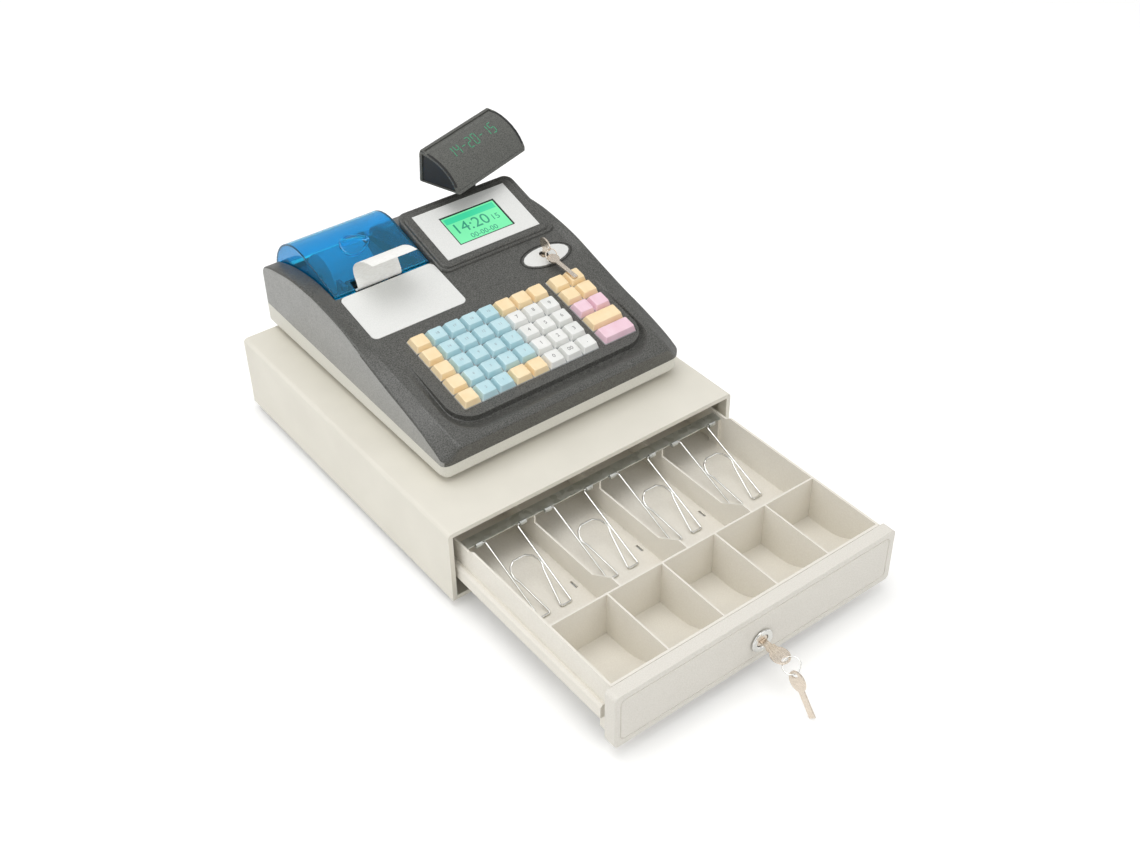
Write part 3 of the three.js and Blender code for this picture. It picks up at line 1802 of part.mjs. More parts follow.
function keyMeshes() {
  const digits = [
    ["key_7", 5, 1],
    ["key_8", 6, 1],
    ["key_9", 7, 1],
    ["key_4", 5, 2],
    ["key_5", 6, 2],
    ["key_6", 7, 2],
    ["key_1", 5, 3],
    ["key_2", 6, 3],
    ["key_3", 7, 3],
    ["key_0", 5, 4],
    ["key_00", 6, 4],
    ["key_point", 7, 4],
  ];
  const meshes = [
    named("function_keys", bank(places([0], [0, 1, 2, 3, 4])), beigeCap),
    named("department_keys", bank(places([1, 2, 3, 4], [0, 1, 2, 3]), places([1, 2], [4])), blueCap),
    named("tax_keys", bank(places([5, 6, 7], [0])), beigeCap),
    named("clerk_keys", bank(places([3, 4], [4])), beigeCap),
    named("side_beige_keys", bank(sidePlaces([0, 1])), beigeCap),
    named("side_pink_keys", bank(sidePlaces([2])), pinkCap),
    named("total_key", keyAt(sideMiddleX, rowY(3), wideCapWidth), beigeCap),
    named("cash_key", keyAt(sideMiddleX, rowY(4), wideCapWidth), pinkCap),
  ];
  digits.forEach(([name, column, row]) => {
    meshes.push(named(name, keyAt(columnX(column), rowY(row)), whiteCap));
  });
  return meshes;
}

// Customer display: a wedge with a bowed front window, turned on a short neck

const displayAxisX = displayLength * displayAxisShare;

function displayProfile(inset) {
  const top = -inset;
  const bottom = inset - displayHeight;
  const front = displayForward - inset;
  const [forwardShare, dropShare] = displayBowShares;
  const bow = new THREE.QuadraticBezierCurve(
    new THREE.Vector2(inset, top),
    new THREE.Vector2(displayForward * forwardShare - inset, top - displayHeight * dropShare),
    new THREE.Vector2(front, bottom),
  );
  const curve = bow.getPoints(8).map((p) => [-p.x, p.y]);
  return outline([[displayBackLean - inset, bottom], [-inset, top], ...curve.slice(1)]);
}

function displayHousing() {
  const outer = alongX(displayProfile(0), 0, displayLength);
  const hollow = alongX(displayProfile(displayWall), displayWall, displayLength - displayWall);
  const seat = cut(
    alongX(displayProfile(-lensSeatOver), displayEndRim, displayLength - displayEndRim),
    alongX(displayProfile(displayLensWall + seatGap), 0, displayLength),
    backBlock(),
  );
  const hole = rod(
    "z",
    neckPinRadius + seatGap,
    -displayHeight - overrun,
    displayWall - displayHeight + overrun,
    displayAxisX,
    -displayAxisForward,
  );
  return cut(outer, hollow, seat, hole, ...endRecesses());
}

// What the lens never covers: the back wall, and a strip along the bottom edge
function backBlock() {
  const strip = block(
    -overrun,
    displayLength + overrun,
    -2 * displayForward,
    displayForward,
    -2 * displayHeight,
    displayEndRim - displayHeight,
  );
  const back = block(
    -overrun,
    displayLength + overrun,
    -displayEndRim,
    displayForward,
    -2 * displayHeight,
    displayHeight,
  );
  return join(strip, back);
}

function endRecesses() {
  const shape = displayProfile(displayEndRim);
  return [
    alongX(shape, -overrun, displayEndRecess),
    alongX(shape, displayLength - displayEndRecess, displayLength + overrun),
  ];
}

function displayLens() {
  const start = displayEndRim + seatGap;
  const band = cut(
    alongX(displayProfile(0), start, displayLength - start),
    alongX(displayProfile(displayLensWall), 0, displayLength),
  );
  const grown = geometryOf(backBlock()).clone().translate(0, -seatGap, seatGap);
  return cut(band, backBlock(), grown);
}

function displayNeck() {
  const deck = deckHeight(displayY - neckFlangeRadius);
  const seat = deck + seatGap;
  const shoulder = displayTop - displayHeight - seatGap;
  return join(
    rod("z", neckFlangeRadius, seat, seat + neckFlangeThickness, displayX, displayY, 20),
    rod("z", neckRadius, seat, shoulder, displayX, displayY, 18),
    rod("z", neckPinRadius, shoulder - weldOverlap, shoulder + neckPinLength, displayX, displayY),
    rod(
      "z",
      neckTenonRadius,
      deckHeight(displayY) - neckTenonLength,
      seat + weldOverlap,
      displayX,
      displayY,
    ),
  );
}

// Assembly

const drawerLock = groupAt(
  0,
  0,
  lockHeight,
  named("drawer_lock_barrel", lockBarrel(), chromeSteel),
);
const drawerKeySet = new THREE.Group();
drawerKeySet.rotation.y = degToRad(-keyRollAngle);
drawerKeySet.add(
  named("drawer_lock_plug", lockPlug(), nickelSteel),
  named("drawer_key", flatKey(keyInsertDepth, keyBowEdgeY, keyNeckWidth), nickelSteel),
  named(
    "drawer_key_ring",
    ringAt(ringRadius, ringWireRadius, ringInward, ringTangent, new THREE.Vector3(0, keyHoleY, 0)),
    chromeSteel,
  ),
  named("drawer_spare_key", spareKey(), nickelSteel),
);
drawerLock.add(drawerKeySet);

const clips = Array.from({ length: bayCount }, (_, i) =>
  groupAt(
    bayCentre(i),
    clipPivotY,
    clipPivotHeight,
    named("bill_clip_" + (i + 1), billClip(), chromeSteel),
  ),
);

const drawer = groupAt(
  0,
  -drawerTravel,
  0,
  named("drawer_body", drawerBody(), trayPlastic),
  named("drawer_front", drawerFront(), cabinetPaint),
  named("clip_bracket", clipBracket(), zincSteel),
  drawerLock,
  ...clips,
);

const hook = groupAt(0, hookPivotY, hookPivotHeight, named("latch_hook", latchHook(), zincSteel));
hook.rotation.x = degToRad(-hookReleaseAngle);

const footX = cabinetHalf - footInsetX;
const feet = [
  ["foot_front_left", -footX, footInsetY],
  ["foot_front_right", footX, footInsetY],
  ["foot_rear_left", -footX, cabinetDepth - footInsetY],
  ["foot_rear_right", footX, cabinetDepth - footInsetY],
].map(([name, x, y]) => groupAt(x, y, -footHeight, named(name, foot(), blackRubber)));

const rollGroup = groupAt(
  0,
  rollY,
  rollHeight,
  named("paper_roll", paperRoll(), paperWhite),
);
const platenGroup = groupAt(
  0,
  platenY,
  platenHeight,
  named("platen_roller", platenRoller(), blackRubber),
);

const keyboard = new THREE.Group();
keyboard.position.set(0, -lipLean, lipHeight);
keyboard.rotation.x = degToRad(deckTilt);
keyboard.add(...keyMeshes());

const display = groupAt(displayX, displayY, displayTop);
display.rotation.z = degToRad(displayYaw);
display.add(
  groupAt(
    -displayAxisX,
    displayAxisForward,
    0,
    named("display_housing", displayHousing(), casePlastic),
    named("display_lens", displayLens(), lensPlastic),
  ),
);

const register = groupAt(
  registerOffsetX,
  registerOffsetY,
  cabinetHeight,
  named("register_base", registerBase(), basePlastic),
  named("register_top", registerTop(), casePlastic),
  named("main_board", mainBoard(), boardGreen),
  named("lcd_plate", lcdPlate(), silverPlate),
  named("lcd_screen", lcdScreen(), lcdGlass),
  named("mode_plate", modePlate(), silverPlate),
  named("mode_lock_barrel", modePlug(), blackPlastic),
  named("mode_key", modeKey(), nickelSteel),
  named("mode_key_ring", modeRing(), nickelSteel),
  named("printer_plate", printerPlate(), silverPlate),
  named("printer_cover", printerCover(), blueCover),
  named("printer_frame", printerFrame(), blackPlastic),
  named("receipt_paper", receiptPaper(), paperWhite),
  named("display_neck", displayNeck(), casePlastic),
  rollGroup,
  platenGroup,
  keyboard,
  display,
);

const cabinet = groupAt(
  0,
  0,
  footHeight,
  named("cabinet_shell", cabinetShell(), cabinetPaint),
  named("cabinet_base", cabinetBase(), cabinetPaint),
  named("drawer_rail_left", rail(-1), zincSteel),
  named("drawer_rail_right", rail(1), zincSteel),
  named("latch_solenoid", latchSolenoid(), zincSteel),
  hook,
  ...feet,
  drawer,
  register,
);

const ticketRegister = new THREE.Group();
ticketRegister.add(cabinet);

// The origin is on the floor, under the middle of the whole object's box
ticketRegister.updateMatrixWorld(true);
const middle = new THREE.Box3().setFromObject(ticketRegister, true).getCenter(new THREE.Vector3());
cabinet.position.x -= middle.x;
cabinet.position.y -= middle.y;

export default ticketRegister;
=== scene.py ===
"""Looks of a counter ticket register on an open drawer cabinet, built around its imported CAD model.

Lengths in the classes are millimetres in the frame of the sub-assembly, apart from the studio's lamps
and floor, which are in metres. Meshes are made in metres.
"""

from __future__ import annotations

import json
import logging
import math
from dataclasses import dataclass, field
from enum import Enum
from functools import partial
from typing import Any, Callable, Iterable, Sequence

import bmesh
import bpy
from mathutils import Matrix, Vector

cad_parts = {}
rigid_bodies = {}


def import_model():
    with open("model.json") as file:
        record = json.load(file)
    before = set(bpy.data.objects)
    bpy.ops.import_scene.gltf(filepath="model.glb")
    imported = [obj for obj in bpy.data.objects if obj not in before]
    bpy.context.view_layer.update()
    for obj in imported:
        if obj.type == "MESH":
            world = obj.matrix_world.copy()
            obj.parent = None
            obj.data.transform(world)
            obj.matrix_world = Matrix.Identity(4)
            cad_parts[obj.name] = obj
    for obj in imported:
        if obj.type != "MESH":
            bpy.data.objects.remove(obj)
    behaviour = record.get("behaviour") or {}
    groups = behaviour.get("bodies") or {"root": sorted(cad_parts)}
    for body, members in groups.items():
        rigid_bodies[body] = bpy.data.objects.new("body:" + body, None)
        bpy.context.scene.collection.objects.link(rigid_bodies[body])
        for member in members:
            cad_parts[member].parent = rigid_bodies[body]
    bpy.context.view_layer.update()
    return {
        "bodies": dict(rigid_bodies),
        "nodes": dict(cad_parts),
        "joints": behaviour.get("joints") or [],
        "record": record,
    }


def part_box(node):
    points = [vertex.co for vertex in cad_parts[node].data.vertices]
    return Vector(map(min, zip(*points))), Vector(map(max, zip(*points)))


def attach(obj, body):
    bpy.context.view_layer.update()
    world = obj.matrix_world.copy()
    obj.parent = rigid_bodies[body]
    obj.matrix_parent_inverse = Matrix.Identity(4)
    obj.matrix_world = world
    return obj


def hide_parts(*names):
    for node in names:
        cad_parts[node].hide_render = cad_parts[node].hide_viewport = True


LOG = logging.getLogger("ticket_register")
MM = 0.001

Tree = bpy.types.NodeTree
Node = bpy.types.Node
Socket = bpy.types.NodeSocket
Piece = bpy.types.Object
Point = tuple[float, float]
Place = tuple[float, float, float]
Outline = list[Point]
Frame = dict[str, Any]


class Slot(Enum):
    """The record's material slots."""

    CABINET = "cabinet_paint"
    FRONT = "front_plastic"
    TRAY = "tray_plastic"
    CASE = "case_plastic"
    BASE = "base_plastic"
    FOOT = "foot_rubber"
    ZINC = "zinc_steel"
    CHROME = "chrome_wire"
    NICKEL = "nickel_steel"
    SILVER = "silver_plate"
    LCD = "lcd_glass"
    COVER = "cover_plastic"
    PAPER = "paper"
    BLACK = "black_plastic"
    LENS = "lens_plastic"
    BOARD = "board"
    BEIGE = "beige_cap"
    BLUE = "blue_cap"
    WHITE = "white_cap"
    PINK = "pink_cap"


class Work(Enum):
    """What tools do to a piece."""

    CUT = "DIFFERENCE"
    JOIN = "UNION"
    KEEP_INSIDE = "INTERSECT"


# Colour and nodes


def linear(colour: str) -> tuple[float, float, float, float]:
    """Turns an sRGB hex colour to linear light.

    Args:
        colour: Six hex digits with a leading #.

    Returns:
        Red, green, blue and alpha.
    """
    parts = [int(colour[i : i + 2], 16) / 255 for i in (1, 3, 5)]
    red, green, blue = (c / 12.92 if c <= 0.04045 else ((c + 0.055) / 1.055) ** 2.4 for c in parts)
    return red, green, blue, 1.0


def add_node(
    tree: Tree,
    kind: str,
    settings: dict[Any, Any] | None = None,
    links: dict[Any, Socket] | None = None,
) -> Node:
    """Adds one node with its settings and links.

    Args:
        tree: The node tree.
        kind: The node's type name.
        settings: Node properties by name, then input values by socket name or number.
        links: Output sockets by the input socket that they feed.

    Returns:
        The new node.
    """
    node = tree.nodes.new(kind)
    for key, value in (settings or {}).items():
        if isinstance(key, str) and hasattr(node, key):
            setattr(node, key, value)
        else:
            node.inputs[key].default_value = value
    for key, source in (links or {}).items():
        tree.links.new(source, node.inputs[key])
    return node


def scatter(tree: Tree, size: float, detail: float = 2.0, stretch: Place = (1.0, 1.0, 1.0)) -> Socket:
    """Lays a random pattern over the material, with features of a real size.

    Args:
        tree: The node tree.
        size: Feature size in millimetres.
        detail: Octaves of finer features.
        stretch: How far each axis is squeezed.

    Returns:
        The socket of the pattern's value.
    """
    place = add_node(tree, "ShaderNodeTexCoord").outputs["Object"]
    scaled = add_node(tree, "ShaderNodeMapping", {"Scale": stretch}, {"Vector": place})
    settings = {"Scale": 1 / (size * MM), "Detail": detail}
    texture = add_node(tree, "ShaderNodeTexNoise", settings, {"Vector": scaled.outputs["Vector"]})
    return texture.outputs["Fac"]


def vary(
    tree: Tree,
    shader: Node,
    pattern: Socket,
    span: Point = (0.3, 0.7),
    colours: tuple[str, str] | None = None,
    roughness: Point | None = None,
    depth: float = 0.0,
    most: float = 1.0,
    target: str = "Base Color",
) -> None:
    """Lets a pattern change a surface's colour, its roughness and its height.

    Args:
        tree: The node tree.
        shader: The surface shader.
        pattern: The socket of the pattern's value.
        span: The pattern's values that give the first and the second colour or roughness.
        colours: The first and the second colour.
        roughness: The first and the second roughness.
        depth: How deep the pattern is, in millimetres.
        most: Largest share of the second colour.
        target: The shader's socket that takes the colour.
    """
    ends = {"From Min": span[0], "From Max": span[1]}
    if colours:
        share = add_node(tree, "ShaderNodeMapRange", ends | {"To Max": most}, {"Value": pattern})
        settings = {"data_type": "RGBA", 6: linear(colours[0]), 7: linear(colours[1])}
        mix = add_node(tree, "ShaderNodeMix", settings, {0: share.outputs["Result"]})
        tree.links.new(mix.outputs[2], shader.inputs[target])
    if roughness:
        settings = ends | {"To Min": roughness[0], "To Max": roughness[1]}
        sheen = add_node(tree, "ShaderNodeMapRange", settings, {"Value": pattern})
        tree.links.new(sheen.outputs["Result"], shader.inputs["Roughness"])
    if depth:
        settings = {"Distance": depth * MM, "Strength": 1.0}
        bump = add_node(tree, "ShaderNodeBump", settings, {"Height": pattern})
        tree.links.new(bump.outputs["Normal"], shader.inputs["Normal"])


def seen(tree: Tree) -> Socket:
    """Finds out whether the camera sees something directly or through clear plastic.

    Args:
        tree: The node tree.

    Returns:
        The socket that is 1 for what it sees so, and otherwise 0.
    """
    rays = add_node(tree, "ShaderNodeLightPath").outputs
    either = {0: rays["Is Camera Ray"], 1: rays["Is Transmission Ray"]}
    return add_node(tree, "ShaderNodeMath", {"operation": "MAXIMUM"}, either).outputs[0]


# Finishes

ABS_IOR = 1.54
POWDER_IOR = 1.5
ACRYLIC_IOR = 1.49


@dataclass(frozen=True)
class Finish:
    """A surface finish: the name it goes by, its colour and its roughness."""

    name: str
    colour: str
    roughness: float

    def material(self) -> bpy.types.Material:
        """Makes the finish's material on its first use.

        Returns:
            The material.
        """
        if self.name in bpy.data.materials:
            return bpy.data.materials[self.name]
        made = bpy.data.materials.new(self.name)
        made.use_nodes = True
        shader = made.node_tree.nodes["Principled BSDF"]
        shader.inputs["Base Color"].default_value = linear(self.colour)
        shader.inputs["Roughness"].default_value = self.roughness
        self.dress(made.node_tree, shader)
        return made

    def sheen(self, smoother: float, rougher: float) -> Point:
        """Gives the lowest and the highest roughness, from how far they lie from the usual one."""
        return self.roughness - smoother, self.roughness + rougher

    def dress(self, tree: Tree, shader: Node) -> None:
        """Adds what is particular to the finish."""


@dataclass(frozen=True)
class MouldedABS(Finish):
    """ABS moulded against a spark-eroded tool: a fine even grain that breaks up reflections."""

    shade: str
    grain: float = 0.9
    depth: float = 0.03
    patch: float = 18.0

    def dress(self, tree: Tree, shader: Node) -> None:
        """Adds the grain's speckle and relief, and patches that shine a little more or less."""
        shader.inputs["IOR"].default_value = ABS_IOR
        grain = scatter(tree, self.grain, 3.0)
        vary(tree, shader, grain, (0.36, 0.64), (self.shade, self.colour), depth=self.depth)
        vary(tree, shader, scatter(tree, self.patch), roughness=self.sheen(0.06, 0.06))


@dataclass(frozen=True)
class PowderCoat(Finish):
    """Powder sprayed on sheet steel and baked: a smooth skin with a faint orange peel."""

    shade: str
    peel: float = 1.6
    depth: float = 0.02
    cloud: float = 60.0

    def dress(self, tree: Tree, shader: Node) -> None:
        """Adds the orange peel and slow changes in tone."""
        shader.inputs["IOR"].default_value = POWDER_IOR
        vary(tree, shader, scatter(tree, self.cloud, 3.0), colours=(self.shade, self.colour))
        peel = scatter(tree, self.peel, 1.0)
        vary(tree, shader, peel, roughness=self.sheen(0.04, 0.04), depth=self.depth)


@dataclass(frozen=True)
class GalvanisedSteel(Finish):
    """Hot-dipped zinc on sheet steel: crystals a few millimetres wide, each with its own sheen."""

    shade: str
    spangle: float = 5.0
    pore: float = 0.8

    def dress(self, tree: Tree, shader: Node) -> None:
        """Adds the zinc crystals and a fine roughness."""
        shader.inputs["Metallic"].default_value = 0.9
        place = add_node(tree, "ShaderNodeTexCoord").outputs["Object"]
        size = {"Scale": 1 / (self.spangle * MM)}
        crystals = add_node(tree, "ShaderNodeTexVoronoi", size, {"Vector": place}).outputs["Color"]
        tone = add_node(tree, "ShaderNodeSeparateColor", links={"Color": crystals}).outputs[0]
        vary(tree, shader, tone, (0.0, 1.0), (self.shade, self.colour), self.sheen(0.08, 0.1))
        vary(tree, shader, scatter(tree, self.pore), depth=0.01)


@dataclass(frozen=True)
class PlatedMetal(Finish):
    """Bright plating on steel or brass, with the hair scratches of handling along its length."""

    shade: str
    scratch: float = 0.5
    depth: float = 0.004
    smoothest: float = 0.03

    def dress(self, tree: Tree, shader: Node) -> None:
        """Adds hair scratches to the roughness and tone."""
        shader.inputs["Metallic"].default_value = 1.0
        hair = scatter(tree, self.scratch, 4.0, (1.0, 0.12, 0.4))
        smooth, rough = self.sheen(0.06, 0.08)
        sheen = (max(smooth, self.smoothest), rough)
        vary(tree, shader, hair, colours=(self.shade, self.colour), roughness=sheen, depth=self.depth)


@dataclass(frozen=True)
class SilverOverlay(Finish):
    """Polyester film printed silver on its back: a satin sheet with fine bright flakes."""

    shade: str
    flake: float = 0.7
    wave: float = 25.0

    def dress(self, tree: Tree, shader: Node) -> None:
        """Adds the flakes and the film's slight wave."""
        shader.inputs["Metallic"].default_value = 0.05
        shader.inputs["Coat Weight"].default_value = 0.1
        shader.inputs["Coat Roughness"].default_value = 0.4
        flakes = scatter(tree, self.flake, 2.0)
        vary(tree, shader, flakes, (0.35, 0.65), (self.shade, self.colour), self.sheen(0.05, 0.05))
        vary(tree, shader, scatter(tree, self.wave), depth=0.05)


@dataclass(frozen=True)
class TintedAcrylic(Finish):
    """Acrylic moulded clear with dye in it: light goes through it tinted, and its skin is glossy."""

    clear: float = 1.0
    haze: float = 30.0

    def dress(self, tree: Tree, shader: Node) -> None:
        """Makes the shader see-through, with the haze of wiping on the skin."""
        # Where clear is below 1, the rest is a matt tinted skin that paints haze and highlights on the clear
        # plastic.
        shader.inputs["Transmission Weight"].default_value = self.clear
        shader.inputs["IOR"].default_value = ACRYLIC_IOR
        smear = scatter(tree, self.haze, 3.0)
        vary(tree, shader, smear, roughness=self.sheen(0.0, 0.05), depth=0.01)


@dataclass(frozen=True)
class CoatedCap(Finish):
    """A coloured ABS cap with a clear snap-on cover: soft colour under a sharp gloss."""

    shade: str
    cloud: float = 14.0
    ripple: float = 3.0

    def dress(self, tree: Tree, shader: Node) -> None:
        """Adds the clear cover's gloss and a slow change of tone between caps."""
        shader.inputs["IOR"].default_value = ABS_IOR
        shader.inputs["Coat Weight"].default_value = 0.5
        shader.inputs["Coat Roughness"].default_value = 0.12
        vary(tree, shader, scatter(tree, self.cloud), colours=(self.shade, self.colour))
        vary(tree, shader, scatter(tree, self.ripple), depth=0.015)


@dataclass(frozen=True)
class ThermalPaper(Finish):
    """Coated paper off a roll: bright, matte, with faint fibres."""

    shade: str = "#ECEBE6"
    fibre: float = 1.2

    def dress(self, tree: Tree, shader: Node) -> None:
        """Adds the fibres."""
        shader.inputs["Specular IOR Level"].default_value = 0.3
        fibres = scatter(tree, self.fibre, 4.0, (0.3, 1.0, 1.0))
        vary(tree, shader, fibres, colours=(self.shade, self.colour), depth=0.02)


@dataclass(frozen=True)
class VulcanisedRubber(Finish):
    """Moulded black rubber: dull, dusty in its pores."""

    dust: str = "#2A2A28"
    pore: float = 1.0

    def dress(self, tree: Tree, shader: Node) -> None:
        """Adds dust and a coarse pore."""
        pores = scatter(tree, self.pore, 3.0)
        vary(tree, shader, pores, colours=(self.colour, self.dust), depth=0.05)


@dataclass(frozen=True)
class BacklitFilm(Finish):
    """A dark film lit from behind: an even coloured glow, a little stronger near the lamp."""

    lit: str
    bright: str
    glow: float = 0.85
    drift: float = 45.0
    grain: float = 1.0

    def dress(self, tree: Tree, shader: Node) -> None:
        """Adds the glow."""
        shader.inputs["Emission Strength"].default_value = self.glow
        shader.inputs["Coat Weight"].default_value = 0.3
        drift = scatter(tree, self.drift, 1.0)
        vary(tree, shader, drift, colours=(self.lit, self.bright), target="Emission Color")
        vary(tree, shader, scatter(tree, self.grain), depth=0.002)


@dataclass(frozen=True)
class PrintedInk(Finish):
    """Ink printed on plastic: a dense matte film, a little worn by fingers."""

    worn: str = "#D5D5D2"
    rub: float = 2.0

    def dress(self, tree: Tree, shader: Node) -> None:
        """Adds the wear."""
        wear = scatter(tree, self.rub, 3.0)
        vary(tree, shader, wear, colours=(self.colour, self.worn), most=0.35)


@dataclass(frozen=True)
class SolderMask(Finish):
    """Lacquer on a glass-fibre circuit board: green, glossy, with the weave under it."""

    thread: str = "#2A7A50"
    weave: float = 5.0

    def dress(self, tree: Tree, shader: Node) -> None:
        """Adds the weave, in two greens."""
        place = add_node(tree, "ShaderNodeTexCoord").outputs["Object"]
        settings = {"Scale": 1 / (self.weave * MM), 1: linear(self.colour), 2: linear(self.thread)}
        weave = add_node(tree, "ShaderNodeTexBrick", settings, {"Vector": place}).outputs
        tree.links.new(weave["Color"], shader.inputs["Base Color"])
        vary(tree, shader, weave["Fac"], depth=0.02)


@dataclass(frozen=True)
class BackdropPaper(Finish):
    """Matt white paper under the object: it takes the shadow, and a glow keeps it pale to the eye."""

    glow: float

    def dress(self, tree: Tree, shader: Node) -> None:
        """Adds the glow to what the camera sees of the paper."""
        shader.inputs["Specular IOR Level"].default_value = 0.1
        shader.inputs["Emission Color"].default_value = linear("#FFFFFF")
        glow = add_node(tree, "ShaderNodeMapRange", {"To Max": self.glow}, {"Value": seen(tree)})
        tree.links.new(glow.outputs["Result"], shader.inputs["Emission Strength"])


CABINET_PAINT = PowderCoat("powder_coated_steel_off_white", "#E6E2D6", 0.46, "#E0DCD0")
FRONT_ABS = MouldedABS("grained_abs_off_white", "#E6E2DA", 0.5, "#DAD6CC", 0.9, 0.015)
TRAY_ABS = MouldedABS("grained_abs_light_grey", "#ECE8DE", 0.5, "#E5E0D5", 1.0, 0.015)
CASE_ABS = MouldedABS("grained_abs_charcoal", "#62625E", 0.4, "#363633", 1.1, 0.05)
# A lighter copy of the charcoal case's grey for the side bands: painted light falling on them from the left.
PAINTED_SIDE_LIGHT_ABS = MouldedABS("grained_abs_painted_side_light", "#A3A3A0", 0.4, "#898986", 1.1, 0.03)
BASE_ABS = MouldedABS("grained_abs_warm_white", "#E0DED4", 0.5, "#D6D4CA", 0.9, 0.015)
BLACK_ABS = MouldedABS("grained_abs_black", "#242424", 0.45, "#191919", 0.9, 0.03)
# The printer frame is black; this slate grey is painted reflection, the haze that the blue cover reflects,
# and lifts the shade inside the cover.
CHASSIS_ABS_PAINTED_HAZE = MouldedABS("smooth_abs_slate_painted_haze", "#74767E", 0.35, "#62646E", 1.2, 0.01)
DISPLAY_ABS = MouldedABS("grained_abs_dark_grey", "#6A6B66", 0.38, "#454642", 1.0, 0.04)
RUBBER = VulcanisedRubber("vulcanised_rubber", "#141414", 0.85)
ZINC = GalvanisedSteel("galvanised_steel", "#D9DBD7", 0.36, "#BFC2BD")
CHROME = PlatedMetal("chrome_plated_wire", "#F0F0ED", 0.12, "#DEDEDA")
NICKEL = PlatedMetal("nickel_plated_steel", "#F1E6D8", 0.26, "#E2D5C6")
SILVER_FILM = SilverOverlay("silver_printed_film", "#E9E9E6", 0.5, "#DDDEDB")
# A tenth of the cover is a matt blue skin: a painted haze standing in for the sky reflected on the cover.
BLUE_ACRYLIC = TintedAcrylic("blue_tinted_acrylic", "#16C2F2", 0.04, 0.9)
# Nearly half of the clear key feet is a matt near-white skin: painted highlights on the rims of clear
# plastic.
CLEAR_ACRYLIC = TintedAcrylic("clear_acrylic", "#F4F9FA", 0.08, 0.55)
PAPER = ThermalPaper("thermal_paper", "#F8F8F5", 0.85)
LCD_FILM = BacklitFilm("backlit_lcd_film", "#2C5A46", 0.3, "#7CF5B0", "#84FFB8")
LCD_BAND = BacklitFilm("backlit_lcd_band", "#1E5040", 0.3, "#3FDDA4", "#4AE6AE")
LCD_INK = BacklitFilm("backlit_lcd_digits", "#123A30", 0.3, "#35A886", "#3DB48F", 0.7)
LIT_SEGMENTS = BacklitFilm("lit_display_segments", "#10301F", 0.3, "#3FB586", "#4AC894", 0.75)
BLACK_INK = PrintedInk("printed_dark_ink", "#4A4A4A", 0.6)
PALE_INK = PrintedInk("printed_grey_ink", "#7E97A2", 0.6)
BOARD = SolderMask("solder_mask_green", "#1F6B45", 0.35)
BEIGE_CAP = CoatedCap("abs_cap_beige", "#FBE6BE", 0.38, "#F6DBAC")
BLUE_CAP = CoatedCap("abs_cap_light_blue", "#C2E0E6", 0.38, "#B4D8E0")
WHITE_CAP = CoatedCap("abs_cap_white", "#EFEFEC", 0.4, "#E5E6E2")
PINK_CAP = CoatedCap("abs_cap_pink", "#F4D3DF", 0.38, "#EDC5D3")
FLOOR_PAPER = BackdropPaper("pale_floor_paper", "#F7F7F6", 0.9, 0.18)


# Outlines

SHARPEST_CORNER = 0.3
FILLET_SHARE = 0.48
DOUBLED_BACK = 1e-6
LEAST_TANGENT = 1e-4


def arc(centre: Point, radius: float, start: float, end: float, steps: int) -> Outline:
    """Gives points round part of a circle, with both ends.

    Args:
        centre: The circle's centre.
        radius: Its radius.
        start: First angle in degrees.
        end: Last angle in degrees.
        steps: Number of chords.

    Returns:
        The points.
    """
    angles = [math.radians(start + (end - start) * i / steps) for i in range(steps + 1)]
    return [(centre[0] + radius * math.cos(a), centre[1] + radius * math.sin(a)) for a in angles]


def rounded(left: float, right: float, front: float, rear: float, radius: float, steps: int = 6) -> Outline:
    """Gives a rectangle with round corners, counter-clockwise.

    Args:
        left: Lowest x.
        right: Highest x.
        front: Lowest y.
        rear: Highest y.
        radius: Corner radius.
        steps: Chords in each corner.

    Returns:
        The points.
    """
    corners = [(right, front, -90), (right, rear, 0), (left, rear, 90), (left, front, 180)]
    points: Outline = []
    for x, y, start in corners:
        centre = (x - radius if x == right else x + radius, y + radius if y == front else y - radius)
        points += arc(centre, radius, start, start + 90, steps)
    return points


def rounded_about(middle: Point, half: Point, radius: float, steps: int = 6) -> Outline:
    """Gives a rectangle with round corners from its middle and half its sides."""
    (x, y), (half_x, half_y) = middle, half
    return rounded(x - half_x, x + half_x, y - half_y, y + half_y, radius, steps)


def ellipse(centre: Point, half_x: float, half_y: float, steps: int = 48) -> Outline:
    """Gives an ellipse's points, counter-clockwise."""
    angles = [2 * math.pi * i / steps for i in range(steps)]
    return [(centre[0] + half_x * math.cos(a), centre[1] + half_y * math.sin(a)) for a in angles]


def inset(points: Outline, distance: float) -> Outline:
    """Moves a counter-clockwise outline inwards.

    Args:
        points: The outline.
        distance: How far each side moves.

    Returns:
        The smaller outline, with as many points.
    """
    moved: Outline = []
    count = len(points)
    for i, (x, y) in enumerate(points):
        before = Vector((x - points[i - 1][0], y - points[i - 1][1])).normalized()
        after = Vector((points[(i + 1) % count][0] - x, points[(i + 1) % count][1] - y)).normalized()
        normal = Vector((-(before.y + after.y), before.x + after.x))
        if normal.length < DOUBLED_BACK:
            normal = Vector((-after.y, after.x))
        normal.normalize()
        share = max(normal.dot(Vector((-after.y, after.x))), SHARPEST_CORNER)
        moved.append((x + normal.x * distance / share, y + normal.y * distance / share))
    return moved


